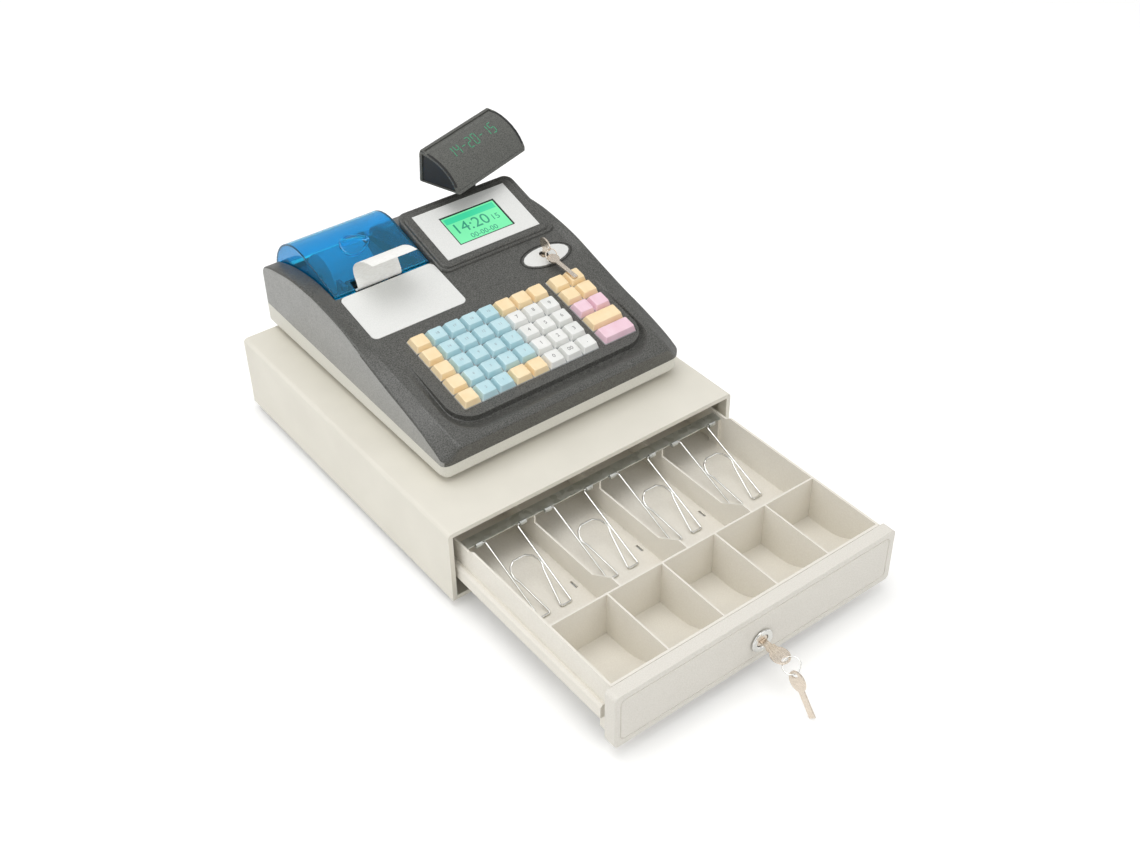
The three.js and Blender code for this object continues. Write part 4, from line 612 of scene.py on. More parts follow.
def filleted(points: Sequence[Point], radii: Sequence[float], steps: int) -> Outline:
    """Rounds the corners of an open path.

    Args:
        points: The path's corners.
        radii: A radius for each corner, 0 where it stays sharp.
        steps: Chords in each round corner.

    Returns:
        The path's points, with steps + 1 for each round corner.
    """
    path: Outline = []
    for i, point in enumerate(points):
        if radii[i] <= 0 or i in (0, len(points) - 1):
            path.append(point)
            continue
        here = Vector(point)
        before, after = Vector(points[i - 1]) - here, Vector(points[i + 1]) - here
        cosine = max(-1.0, min(1.0, before.normalized().dot(after.normalized())))
        half = math.acos(cosine) / 2
        longest = FILLET_SHARE * min(before.length, after.length)
        reach = min(radii[i] / max(math.tan(half), LEAST_TANGENT), longest)
        start, end = here + before.normalized() * reach, here + after.normalized() * reach
        for step in range(steps + 1):
            share = step / steps
            first = start.lerp(here, share)
            second = here.lerp(end, share)
            middle = first.lerp(second, share)
            path.append((middle.x, middle.y))
    return path


def smooth_between(stations: Sequence[Point], at: float) -> float:
    """Reads a smooth curve through stations that never swings past them.

    Args:
        stations: Pairs of place and value, in order.
        at: The place to read.

    Returns:
        The value there.
    """
    spans = list(zip(stations, stations[1:]))
    slopes = [(b[1] - a[1]) / (b[0] - a[0]) for a, b in spans]
    tangents = [slopes[0]]
    for low, high in zip(slopes, slopes[1:]):
        tangents.append(0.0 if low * high <= 0 else 2 * low * high / (low + high))
    tangents.append(slopes[-1])
    index = 0
    while index < len(spans) - 1 and at > spans[index][1][0]:
        index += 1
    (x0, y0), (x1, y1) = spans[index]
    width = x1 - x0
    t = max(0.0, min(1.0, (at - x0) / width))
    start, end = tangents[index] * width, tangents[index + 1] * width
    return (
        (2 * t**3 - 3 * t**2 + 1) * y0
        + (t**3 - 2 * t**2 + t) * start
        + (3 * t**2 - 2 * t**3) * y1
        + (t**3 - t**2) * end
    )


def smooth_path(points: Sequence[Vector], steps: int) -> list[Vector]:
    """Gives points on the smooth curve through some points.

    Args:
        points: The points.
        steps: Pieces between each two of them.

    Returns:
        The curve's points.
    """
    ends = [points[0], *points, points[-1]]
    path = []
    for a, b, c, d in zip(ends, ends[1:], ends[2:], ends[3:]):
        bend = 2 * a - 5 * b + 4 * c - d
        twist = 3 * b - a - 3 * c + d
        for step in range(steps):
            t = step / steps
            path.append(0.5 * (2 * b + (c - a) * t + bend * t**2 + twist * t**3))
    return path + [points[-1]]


# Meshes


def tilted(x: float, y: float, z: float, degrees: float = 0.0) -> Matrix:
    """Gives a frame at a place, turned about X."""
    return Matrix.Translation((x, y, z)) @ Matrix.Rotation(math.radians(degrees), 4, "X")


def add_object(name: str, data: bpy.types.ID) -> Piece:
    """Adds an object with its mesh, light or camera to the scene.

    Args:
        name: The object's name.
        data: What it shows.

    Returns:
        The object, at the origin.
    """
    made = bpy.data.objects.new(name, data)
    bpy.context.scene.collection.objects.link(made)
    return made


def mesh_object(
    name: str, points: Iterable[Sequence[float]], faces: Iterable[Sequence[int]], frame: Matrix
) -> Piece:
    """Makes an object from points in millimetres.

    Args:
        name: The piece's name.
        points: Its points in the frame.
        faces: Point numbers of each face.
        frame: Where the frame stands in the part's frame, in millimetres.

    Returns:
        The object, at the origin, with its mesh in metres and its faces turned outwards.
    """
    placed = [(frame @ Vector(p)) * MM for p in points]
    mesh = bpy.data.meshes.new(name)
    mesh.from_pydata(placed, [], [list(f) for f in faces])
    form = bmesh.new()
    form.from_mesh(mesh)
    bmesh.ops.recalc_face_normals(form, faces=form.faces)
    form.to_mesh(mesh)
    form.free()
    return add_object(name, mesh)


def rings_at(levels: Iterable[tuple[Outline, float]]) -> list[list[Place]]:
    """Lifts each outline to its height, as a ring for a loft."""
    return [[(x, y, z) for x, y in outline] for outline, z in levels]


def loft(name: str, rings: Sequence[Sequence[Sequence[float]]], frame: Matrix, closed: bool = False) -> Piece:
    """Skins rings that have the same number of points.

    Args:
        name: The piece's name.
        rings: The rings in order.
        frame: Where their frame stands.
        closed: Whether the last ring joins the first; otherwise both ends are capped.

    Returns:
        The closed object.
    """
    size = len(rings[0])
    points = [point for ring in rings for point in ring]
    faces: list[Sequence[int]] = []
    for i in range(len(rings) if closed else len(rings) - 1):
        low, high = i * size, ((i + 1) % len(rings)) * size
        for j in range(size):
            k = (j + 1) % size
            faces.append((low + j, low + k, high + k, high + j))
    if not closed:
        faces.append(tuple(range(size)))
        faces.append(tuple(range(len(points) - size, len(points))))
    return mesh_object(name, points, faces, frame)


def prism(
    name: str,
    outline: Outline,
    low: float,
    high: float,
    frame: Matrix,
    top: float = 0.0,
    bottom: float = 0.0,
    steps: int = 3,
    lid: Callable[[float, float], float] | None = None,
) -> Piece:
    """Raises an outline to a solid whose top and bottom edges may be round.

    Args:
        name: The piece's name.
        outline: The counter-clockwise outline in x and y.
        low: Lowest z.
        high: Highest z.
        frame: Where the outline's frame stands.
        top: Radius of the top edge.
        bottom: Radius of the bottom edge.
        steps: Chords in each round edge.
        lid: Gives the top's height at x and y in place of high.

    Returns:
        The solid.
    """
    height = lid or (lambda x, y: high)
    rings = []
    turns = [math.radians(90 * i / steps) for i in range(steps + 1)]
    if bottom:
        for a in reversed(turns):
            ring = inset(outline, bottom * (1 - math.cos(a)))
            rings.append([(x, y, low + bottom * (1 - math.sin(a))) for x, y in ring])
    else:
        rings.append([(x, y, low) for x, y in outline])
    if top:
        for a in turns:
            ring = inset(outline, top * (1 - math.cos(a)))
            rings.append([(x, y, height(x, y) - top * (1 - math.sin(a))) for x, y in ring])
    else:
        rings.append([(x, y, height(x, y)) for x, y in outline])
    return loft(name, rings, frame)


def across(
    name: str, outline: Outline, left: float, right: float, frame: Matrix, edge: float = 0.0
) -> Piece:
    """Carries a counter-clockwise outline in y and z along x, with its end edges rounded.

    Args:
        name: The piece's name.
        outline: The outline.
        left: Lowest x.
        right: Highest x.
        frame: Where its frame stands.
        edge: Radius of the end edges.

    Returns:
        The solid.
    """
    turns = [math.radians(30 * i) for i in range(4 if edge else 1)]
    rings = []
    for x, side, order in ((left, 1, turns), (right, -1, turns[::-1])):
        for a in order:
            ring = inset(outline, edge * (1 - math.sin(a)))
            rings.append([(x + side * edge * (1 - math.cos(a)), y, z) for y, z in ring])
    return loft(name, rings, frame)


def bake(piece: Piece) -> None:
    """Applies a piece's modifiers to its mesh.

    Args:
        piece: The piece.
    """
    graph = bpy.context.evaluated_depsgraph_get()
    final = bpy.data.meshes.new_from_object(
        piece.evaluated_get(graph), preserve_all_data_layers=True, depsgraph=graph
    )
    old = piece.data
    piece.modifiers.clear()
    piece.data = final
    bpy.data.meshes.remove(old)


def combine(piece: Piece, tools: Iterable[Piece], work: Work) -> Piece:
    """Cuts tools from a piece or joins them to it, and removes the tools.

    Args:
        piece: The piece that stays.
        tools: The solids that are used up.
        work: What they do to it.

    Returns:
        The piece.
    """
    used = list(tools)
    for tool in used:
        step = piece.modifiers.new("combine", "BOOLEAN")
        step.object = tool
        step.operation = work.value
        step.solver = "EXACT"
    bake(piece)
    for tool in used:
        bpy.data.objects.remove(tool, do_unlink=True)
    return piece


def soften(
    piece: Piece, width: float = 0.0, segments: int = 2, angle: float = 32.0
) -> Piece:
    """Rounds a piece's edges and evens out its shading.

    Args:
        piece: The piece.
        width: Width of the rounded edges in millimetres, 0 for none.
        segments: Faces across each rounded edge.
        angle: Edges sharper than this many degrees are rounded, or stay crisp.

    Returns:
        The piece.
    """
    if width:
        edge = piece.modifiers.new("edge", "BEVEL")
        edge.width = width * MM
        edge.segments = segments
        edge.limit_method = "ANGLE"
        edge.angle_limit = math.radians(angle)
        bake(piece)
    mesh = piece.data
    mesh.polygons.foreach_set("use_smooth", [True] * len(mesh.polygons))
    mesh.set_sharp_from_angle(angle=math.radians(angle + 12 if width else angle))
    normals = piece.modifiers.new("normals", "WEIGHTED_NORMAL")
    normals.keep_sharp = True
    bake(piece)
    return piece


def merged(name: str, pieces: Sequence[Piece]) -> Piece:
    """Puts several meshes in one object.

    Args:
        name: The new piece's name.
        pieces: The objects, which are used up.

    Returns:
        The new piece.
    """
    form = bmesh.new()
    for piece in pieces:
        form.from_mesh(piece.data)
    mesh = bpy.data.meshes.new(name)
    form.to_mesh(mesh)
    form.free()
    for piece in pieces:
        bpy.data.objects.remove(piece, do_unlink=True)
    return add_object(name, mesh)


def lettering(name: str, text: str, size: float, frame: Matrix, thickness: float = 0.06) -> Piece:
    """Makes plain digits as thin solids in the frame's x and y.

    Args:
        name: The piece's name.
        text: The digits.
        size: Height of the type in millimetres.
        frame: Where the text's middle stands.
        thickness: Thickness of the digits in millimetres.

    Returns:
        The digits' mesh object.
    """
    curve = bpy.data.curves.new(name, "FONT")
    curve.body = text
    curve.size = size
    curve.align_x = "CENTER"
    curve.align_y = "CENTER"
    curve.extrude = thickness / 2
    curve.resolution_u = 3
    typed = add_object(name + "_type", curve)
    graph = bpy.context.evaluated_depsgraph_get()
    mesh = bpy.data.meshes.new_from_object(typed.evaluated_get(graph))
    mesh.transform(frame)
    mesh.transform(Matrix.Scale(MM, 4))
    bpy.data.objects.remove(typed, do_unlink=True)
    bpy.data.curves.remove(curve)
    form = bmesh.new()
    form.from_mesh(mesh)
    bmesh.ops.remove_doubles(form, verts=form.verts, dist=1e-7)
    form.to_mesh(mesh)
    form.free()
    return add_object(name, mesh)


@dataclass
class Workshop:
    """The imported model, and the places that the sub-assemblies are built in.

    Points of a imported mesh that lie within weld, in metres, are one point.
    """

    frame: Frame
    register_offset: Place = (8.55, 57.0, 80.4)
    weld: float = 4e-6
    lip_lean: float = 4.0
    lip_height: float = 39.5
    deck_tilt: float = 12.5
    cabinet: Matrix = field(init=False)
    drawer: Matrix = field(init=False)
    register: Matrix = field(init=False)
    deck: Matrix = field(init=False)

    def __post_init__(self) -> None:
        """Finds the sub-assemblies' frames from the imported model."""
        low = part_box("cabinet_shell")[0]
        self.cabinet = Matrix.Translation((0.0, low.y / MM, low.z / MM))
        self.drawer = Matrix.Translation((0.0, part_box("drawer_front")[0].y / MM, low.z / MM))
        self.register = self.cabinet @ Matrix.Translation(self.register_offset)
        self.deck = self.register @ tilted(0.0, -self.lip_lean, self.lip_height, self.deck_tilt)

    def along_deck(self, y: float) -> float:
        """Turns a level distance from the register's front to one along the deck."""
        return (y + self.lip_lean) / math.cos(math.radians(self.deck_tilt))

    def fit(
        self, piece: Piece, body: str, slot: Slot, finish: Finish, *nodes: str
    ) -> Piece:
        """Dresses a piece, lets it ride on a body and hides the CAD nodes that it replaces.

        Args:
            piece: The piece.
            body: The CAD body that carries it.
            slot: Its material slot in the record; not used.
            finish: Its finish.
            nodes: The CAD nodes that it replaces.

        Returns:
            The piece.
        """
        piece.data.materials.clear()
        piece.data.materials.append(finish.material())
        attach(piece, body)
        if nodes:
            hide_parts(*nodes)
        LOG.info("%s rides on %s in %s", piece.name, body, finish.name)
        return piece

    def second_finish(
        self, piece: Piece, finish: Finish, chosen: Callable[[Vector, Vector], bool], frame: Matrix
    ) -> None:
        """Gives some of a piece's faces another finish.

        Args:
            piece: The piece.
            finish: The other finish.
            chosen: Says, from a face's middle in the frame and its normal, whether the face gets it.
            frame: The frame, in millimetres.
        """
        piece.data.materials.append(finish.material())
        back = frame.inverted()
        for face in piece.data.polygons:
            if chosen(back @ (face.center / MM), face.normal):
                face.material_index = 1

    def copy_of(self, node: str, name: str, flat: float = 0.6) -> Piece:
        """Copies a CAD node's shape with its flat faces whole.

        Args:
            node: The CAD node.
            name: The new piece's name.
            flat: Faces within this many degrees of each other become one.

        Returns:
            The copy.
        """
        form = bmesh.new()
        form.from_mesh(self.frame["nodes"][node].data)
        bmesh.ops.remove_doubles(form, verts=form.verts, dist=self.weld)
        bmesh.ops.dissolve_limit(
            form, angle_limit=math.radians(flat), verts=form.verts[:], edges=form.edges[:]
        )
        form.verts.index_update()
        points = [v.co.copy() for v in form.verts]
        faces = [[v.index for v in f.verts] for f in form.faces]
        form.free()
        mesh = bpy.data.meshes.new(name)
        mesh.from_pydata(points, [], faces)
        return add_object(name, mesh)

    def refine(
        self, node: str, name: str, body: str, slot: Slot, finish: Finish, width: float, segments: int = 2
    ) -> Piece:
        """Replaces a CAD node by a copy with rounded edges.

        Args:
            node: The CAD node.
            name: The new piece's name.
            body: The CAD body that carries it.
            slot: Its material slot.
            finish: Its finish.
            width: Width of the rounded edges in millimetres.
            segments: Faces across each rounded edge.

        Returns:
            The new piece.
        """
        piece = soften(self.copy_of(node, name), width, segments)
        return self.fit(piece, body, slot, finish, node)


# Studio


@dataclass(frozen=True)
class SoftLight:
    """A square lamp: its name, where it hangs in metres, and its power in watts."""

    name: str
    place: Place
    power: float


@dataclass
class Studio:
    """The pale floor, the soft lights and the camera at the photograph's place.

    The camera's place counts from the cabinet's front, in millimetres. The floor and the lamps are in metres.
    """

    workshop: Workshop
    place: Place = (-647.36, -818.46, 957.34)
    azimuth: float = -36.97
    elevation: float = 38.75
    roll: float = -0.83
    focal_length: float = 46.458
    sensor_width: float = 36.0
    farthest: float = 30.0
    floor_half: float = 6.0
    ambient: float = 0.62
    lamp_side: float = 2.0
    aim: Place = (0.0, 0.05, 0.1)
    lamps: tuple[SoftLight, ...] = (
        SoftLight("side_light", (-2.4, 0.1, 1.3), 11.0),
        SoftLight("top_light", (-0.4, 0.3, 2.8), 32.0),
        SoftLight("front_light", (0.9, -2.4, 1.5), 12.0),
    )

    def build(self) -> None:
        """Makes the camera first, then the floor, the world and the lights."""
        self.camera()
        self.floor()
        self.world()
        for light in self.lamps:
            self.lamp(light)
        bpy.context.scene.view_settings.view_transform = "Standard"

    def camera(self) -> None:
        """Makes the camera from its bearing, height and roll."""
        azimuth, elevation, roll = (math.radians(v) for v in (self.azimuth, self.elevation, self.roll))
        level = Vector((math.cos(azimuth), math.sin(azimuth), 0.0))
        away = math.cos(elevation)
        back = Vector((math.sin(azimuth) * away, -math.cos(azimuth) * away, math.sin(elevation)))
        upright = back.cross(level)
        right = level * math.cos(roll) + upright * math.sin(roll)
        up = upright * math.cos(roll) - level * math.sin(roll)
        turn = Matrix((right, up, back)).transposed().to_4x4()
        data = bpy.data.cameras.new("camera")
        data.lens = self.focal_length
        data.sensor_width = self.sensor_width
        data.clip_end = self.farthest
        made = add_object("camera", data)
        where = (self.workshop.cabinet @ Vector(self.place)) * MM
        made.matrix_world = Matrix.Translation(where) @ turn
        bpy.context.scene.camera = made

    def floor(self) -> None:
        """Makes the floor, plain and pale, which takes the object's shadow."""
        half = self.floor_half / MM
        corners = [(-half, -half, 0), (half, -half, 0), (half, half, 0), (-half, half, 0)]
        piece = mesh_object("floor", corners, [(0, 1, 2, 3)], Matrix.Identity(4))
        piece.data.materials.append(FLOOR_PAPER.material())

    def world(self) -> None:
        """Makes an even white sky that lights the object from all round."""
        world = bpy.data.worlds.new("studio_sky")
        bpy.context.scene.world = world
        world.use_nodes = True
        tree = world.node_tree
        sky = tree.nodes["Background"]
        sky.inputs["Color"].default_value = linear("#FFFFFF")
        strength = add_node(tree, "ShaderNodeMapRange", {"To Min": self.ambient}, {"Value": seen(tree)})
        tree.links.new(strength.outputs["Result"], sky.inputs["Strength"])

    def lamp(self, light: SoftLight) -> None:
        """Hangs a soft light that faces the object.

        Args:
            light: The lamp.
        """
        data = bpy.data.lights.new(light.name, "AREA")
        data.shape = "SQUARE"
        data.size = self.lamp_side
        data.energy = light.power
        made = add_object(light.name, data)
        made.location = light.place
        facing = Vector(self.aim) - Vector(light.place)
        made.rotation_euler = facing.to_track_quat("-Z", "Y").to_euler()


# Cabinet and drawer


@dataclass
class Cabinet:
    """The steel box: shell, floor plate, feet, rails and the latch."""

    workshop: Workshop
    sheet_edge: float = 0.5
    floor_edge: float = 0.4
    foot_edge: float = 1.2
    rail_edge: float = 0.3
    latch_edge: float = 0.5
    hook_edge: float = 0.4

    def build(self) -> None:
        """Dresses the shell and what is fixed in it."""
        shop = self.workshop
        paint = ("cabinet", Slot.CABINET, CABINET_PAINT)
        shop.refine("cabinet_shell", "cabinet_sheet", *paint, self.sheet_edge)
        shop.refine("cabinet_base", "cabinet_floor", *paint, self.floor_edge)
        for side in ("left", "right"):
            for end in ("front", "rear"):
                node = f"foot_{end}_{side}"
                shop.refine(node, f"rubber_{node}", "cabinet", Slot.FOOT, RUBBER, self.foot_edge)
            rail = f"drawer_rail_{side}"
            shop.refine(rail, f"folded_{rail}", "cabinet", Slot.ZINC, ZINC, self.rail_edge)
        shop.refine("latch_solenoid", "latch_block", "cabinet", Slot.ZINC, ZINC, self.latch_edge)
        shop.refine("latch_hook", "latch_pawl", "latch_hook", Slot.ZINC, ZINC, self.hook_edge)


@dataclass
class Drawer:
    """The sliding drawer: tray, front panel and the strip that carries the clips."""

    workshop: Workshop
    front_half: float = 160.25
    front_low: float = 5.5
    front_high: float = 65.4
    front_edge: float = 0.35
    border: float = 6.5
    border_radius: float = 5.0
    groove_width: float = 1.1
    groove_depth: float = 0.9
    groove_shoulder: float = 0.2
    groove_overrun: float = 1.0
    strip_edge: float = 0.3
    tray_flat: float = 0.02
    tray_crease: float = 15.0

    def build(self) -> None:
        """Dresses the tray and panel."""
        shop = self.workshop
        tray = soften(shop.copy_of("drawer_body", "drawer_tray", self.tray_flat), angle=self.tray_crease)
        shop.fit(tray, "drawer", Slot.TRAY, TRAY_ABS, "drawer_body")
        panel = shop.copy_of("drawer_front", "drawer_panel")
        combine(panel, [self.groove()], Work.CUT)
        shop.fit(soften(panel, self.front_edge), "drawer", Slot.FRONT, FRONT_ABS, "drawer_front")
        shop.refine("clip_bracket", "clip_strip", "drawer", Slot.ZINC, ZINC, self.strip_edge)

    def groove(self) -> Piece:
        """Makes the cutter of the fine border line round the front panel.

        Returns:
            The cutter.
        """
        edge, half = self.border, self.groove_width / 2
        low, high = self.front_low + edge, self.front_high - edge
        line = rounded(edge - self.front_half, self.front_half - edge, low, high, self.border_radius)
        wide, narrow = inset(line, -half), inset(line, half)
        ahead, shoulder = -self.groove_overrun, self.groove_depth * self.groove_shoulder
        outer = [(wide, ahead), (wide, shoulder), (line, self.groove_depth)]
        levels = outer + [(narrow, shoulder), (narrow, ahead)]
        rings = [[(x, y, z) for x, z in ring] for ring, y in levels]
        return loft("border_cutter", rings, self.workshop.drawer, closed=True)


def smooth_wire(wire: Piece, crease: float = 62.0) -> Piece:
    """Shades a bent wire as round.

    Args:
        wire: The wire.
        crease: Edges sharper than this many degrees stay crisp.

    Returns:
        The wire.
    """
    mesh = wire.data
    mesh.polygons.foreach_set("use_smooth", [True] * len(mesh.polygons))
    mesh.set_sharp_from_angle(angle=math.radians(crease))
    return wire


@dataclass
class BillClips:
    """Four sprung wire clips over the tray's flat places."""

    workshop: Workshop
    count: int = 4
    wire_flat: float = 0.01

    def build(self) -> None:
        """Rounds each clip's wire."""
        shop = self.workshop
        for number in range(1, self.count + 1):
            node = f"bill_clip_{number}"
            wire = smooth_wire(shop.copy_of(node, f"wire_clip_{number}", self.wire_flat))
            shop.fit(wire, node, Slot.CHROME, CHROME, node)


@dataclass
class DrawerLock:
    """The lock in the drawer front, with one key in it and a spare on a ring."""

    workshop: Workshop
    bezel_edge: float = 1.3
    bezel_segments: int = 4
    plug_edge: float = 0.3
    key_edge: float = 0.25
    wire_flat: float = 0.01

    def build(self) -> None:
        """Dresses the lock and its keys."""
        shop = self.workshop
        bezel = ("drawer", Slot.CHROME, CHROME, self.bezel_edge, self.bezel_segments)
        shop.refine("drawer_lock_barrel", "lock_barrel", *bezel)
        shop.refine("drawer_lock_plug", "lock_plug", "drawer_lock", Slot.NICKEL, NICKEL, self.plug_edge)
        shop.refine("drawer_key", "lock_key", "drawer_lock", Slot.NICKEL, NICKEL, self.key_edge)
        ring = smooth_wire(shop.copy_of("drawer_key_ring", "key_ring_wire", self.wire_flat))
        shop.fit(ring, "drawer_key_ring", Slot.CHROME, CHROME, "drawer_key_ring")
        spare = ("drawer_spare_key", Slot.NICKEL, NICKEL, self.key_edge)
        shop.refine("drawer_spare_key", "spare_key", *spare)


# Register


def edge_drop(radius: float, reach: float) -> float:
    """Gives how far a round edge has fallen away at some distance in from its side."""
    return radius - math.sqrt(max(radius**2 - (radius - reach) ** 2, 0.0))


@dataclass
class RegisterCase:
    """The charcoal upper case, with the keyboard cove, the screen hump and the printer bay cut in it."""

    workshop: Workshop
    half: float = 140.0
    depth: float = 334.0
    corner: float = 10.0
    lip: float = 3.0
    wall: float = 2.5
    keyboard_wall: float = 8.0
    well_rear: float = 132.0
    parting_front: float = 20.0
    parting_rear: float = 29.5
    parting_gap: float = 0.3
    arch_start: float = 195.0
    arch_end_share: float = 0.964
    arch_end_height: float = 73.5
    crease_rise: float = 89.0
    crease_radius: float = 3.0
    rim_radius: float = 6.0
    rim_front: float = 123.4
    rim_rear: float = 128.0
    rim_settle: float = 165.0
    crease_stations: tuple[Point, ...] = (
        (-0.012, 0.266),
        (0.058, 0.397),
        (0.172, 0.539),
        (0.266, 0.629),
        (0.386, 0.77),
        (0.44, 0.84),
        (0.51, 0.921),
        (0.593, 0.971),
        (0.68, 1.0),
        (0.769, 0.993),
        (0.865, 0.94),
        (0.964, 0.837),
        (0.985, 0.72),
        (1.0, 0.539),
    )
    side_drop: float = 0.5
    side_facing: float = 0.6
    hollow_foot: float = -6.0
    hollow_shoulder: float = 20.0
    boss_place: Point = (84.8, 286.4)
    boss_radius: float = 13.8
    boss_seat: float = 13.5
    boss_edge: float = 0.8
    foot_edge: float = 0.6
    board_edge: float = 0.2
    outer_steps: int = 44
    inner_steps: int = 30

    def deck_height(self, y: float) -> float:
        """Gives the deck's height: a straight slope, and an arch that falls to the rear.

        Args:
            y: The distance from the front.

        Returns:
            The height.
        """
        shop = self.workshop
        slope = math.tan(math.radians(shop.deck_tilt))
        rise = shop.lip_height + slope * (min(y, self.arch_start) + shop.lip_lean)
        if y <= self.arch_start:
            return rise
        end = self.depth * self.arch_end_share - self.arch_start
        fall = (rise + slope * end - self.arch_end_height) / end**2
        run = y - self.arch_start
        return rise + slope * run - fall * run**2

    def crease_height(self, y: float) -> float:
        """Gives the height of the crease along the side at a distance from the front."""
        return self.crease_rise * smooth_between(self.crease_stations, y / self.depth)

    def top_height(self, y: float) -> float:
        """Gives the deck's height, or the crease's behind the arch."""
        return self.deck_height(y) if y <= self.depth * self.arch_end_share else self.crease_height(y)

    def rim_half(self, y: float) -> float:
        """Gives half the deck's width, which grows a little to the rear."""
        settle = min(max(y / self.rim_settle, 0.0), 1.0)
        return self.rim_front + (self.rim_rear - self.rim_front) * settle

    def section(self, y: float) -> list[Place]:
        """Gives the outer section at a distance from the front, with its edges rounded.

        Args:
            y: The distance.

        Returns:
            The section's points from the right foot over the deck to the left foot.
        """
        shop = self.workshop
        reach = min(max(min(y + shop.lip_lean, self.depth - y), 0.0), self.corner)
        half = self.half - edge_drop(self.corner, reach)
        parting = self.parting_front + (self.parting_rear - self.parting_front) * y / self.depth
        ahead = min(max(y + shop.lip_lean, 0.0), self.lip)
        deck = self.top_height(y) - edge_drop(self.lip, ahead)
        foot = (half, parting + self.parting_gap)
        side = [foot, (half, self.crease_height(y)), (self.rim_half(y), deck), (0.0, deck)]
        path = filleted(side, (0, self.crease_radius, self.rim_radius, 0), 5)
        mirrored = [(-x, z) for x, z in reversed(path[:-1])]
        lean = shop.lip_lean / (shop.lip_height - self.parting_front)
        fade = max(0.0, 1.0 - (y + shop.lip_lean) / self.corner)
        return [(x, y + lean * max(shop.lip_height - z, 0.0) * fade, z) for x, z in path + mirrored]

    def shell(self) -> Piece:
        """Lofts the outer form and hollows it.

        Returns:
            The case without its openings.
        """
        turns = [math.radians(10 * i) for i in range(10)]
        front = [self.corner * (1 - math.cos(a)) - self.workshop.lip_lean for a in turns]
        rear = [self.depth - self.corner * (1 - math.cos(a)) for a in reversed(turns)]
        count = self.outer_steps
        between = [front[-1] + (rear[0] - front[-1]) * i / count for i in range(1, count)]
        sections = [self.section(y) for y in front + between + rear]
        outer = loft("register_case", sections, self.workshop.register)
        return combine(outer, [self.hollow()], Work.CUT)

    def hollow(self) -> Piece:
        """Makes the inside of the case, which has thicker walls under the keyboard.

        Returns:
            The cutter.
        """
        rings = []
        last = self.depth - self.wall
        for i in range(self.inner_steps + 1):
            y = self.wall + (last - self.wall) * i / self.inner_steps
            deck = self.top_height(y) - (self.keyboard_wall if y < self.well_rear else self.wall)
            crease = min(self.crease_height(y), self.deck_height(y) + self.hollow_shoulder) - self.wall
            rim = self.rim_half(y) - self.wall
            reach = min(max(min(y, self.depth - y), 0.0), self.corner)
            half = self.half - self.wall - edge_drop(self.corner, reach)
            right = [(half, y, self.hollow_foot), (half, y, crease), (rim, y, deck)]
            rings.append(right + [(-x, y, z) for x, y, z in reversed(right)])
        return loft("case_hollow", rings, self.workshop.register)

    def build(self) -> None:
        """Makes the case with all its openings."""
        shop = self.workshop
        case = self.shell()
        screen = ScreenPanel(shop, self)
        combine(case, screen.humps() + [self.neck_boss()], Work.JOIN)
        cutters = Keyboard(shop).cutters() + screen.pockets() + ModeLock(shop).cutters()
        cutters += Printer(shop).cutters()
        combine(case, cutters, Work.CUT)
        shop.fit(soften(case, angle=30.0), "cabinet", Slot.CASE, CASE_ABS, "register_top")
        # The side bands get the lighter copy of the case's grey: painted light from the side.
        shop.second_finish(case, PAINTED_SIDE_LIGHT_ABS, self.on_painted_lit_side, shop.register)
        base = ("cabinet", Slot.BASE, BASE_ABS, self.foot_edge)
        shop.refine("register_base", "register_foot_case", *base)
        shop.refine("main_board", "keyboard_board", "cabinet", Slot.BOARD, BOARD, self.board_edge)

    def on_painted_lit_side(self, middle: Vector, normal: Vector) -> bool:
        """Says whether a face belongs to the side bands, which take a lighter grey as painted light from the
        side.
        """
        below = middle.z < self.crease_height(middle.y) - self.side_drop * self.crease_radius
        return below and abs(normal.x) > self.side_facing and abs(middle.x) > self.rim_rear

    def neck_boss(self) -> Piece:
        """Makes the round seat under the customer display's neck.

        Returns:
            The seat's solid.
        """
        y, radius = self.boss_place[1], self.boss_radius
        low = self.deck_height(y + radius) - self.wall
        high = self.deck_height(y - self.boss_seat)
        outline = ellipse(self.boss_place, radius, radius, 40)
        return prism("neck_boss", outline, low, high, self.workshop.register, self.boss_edge)


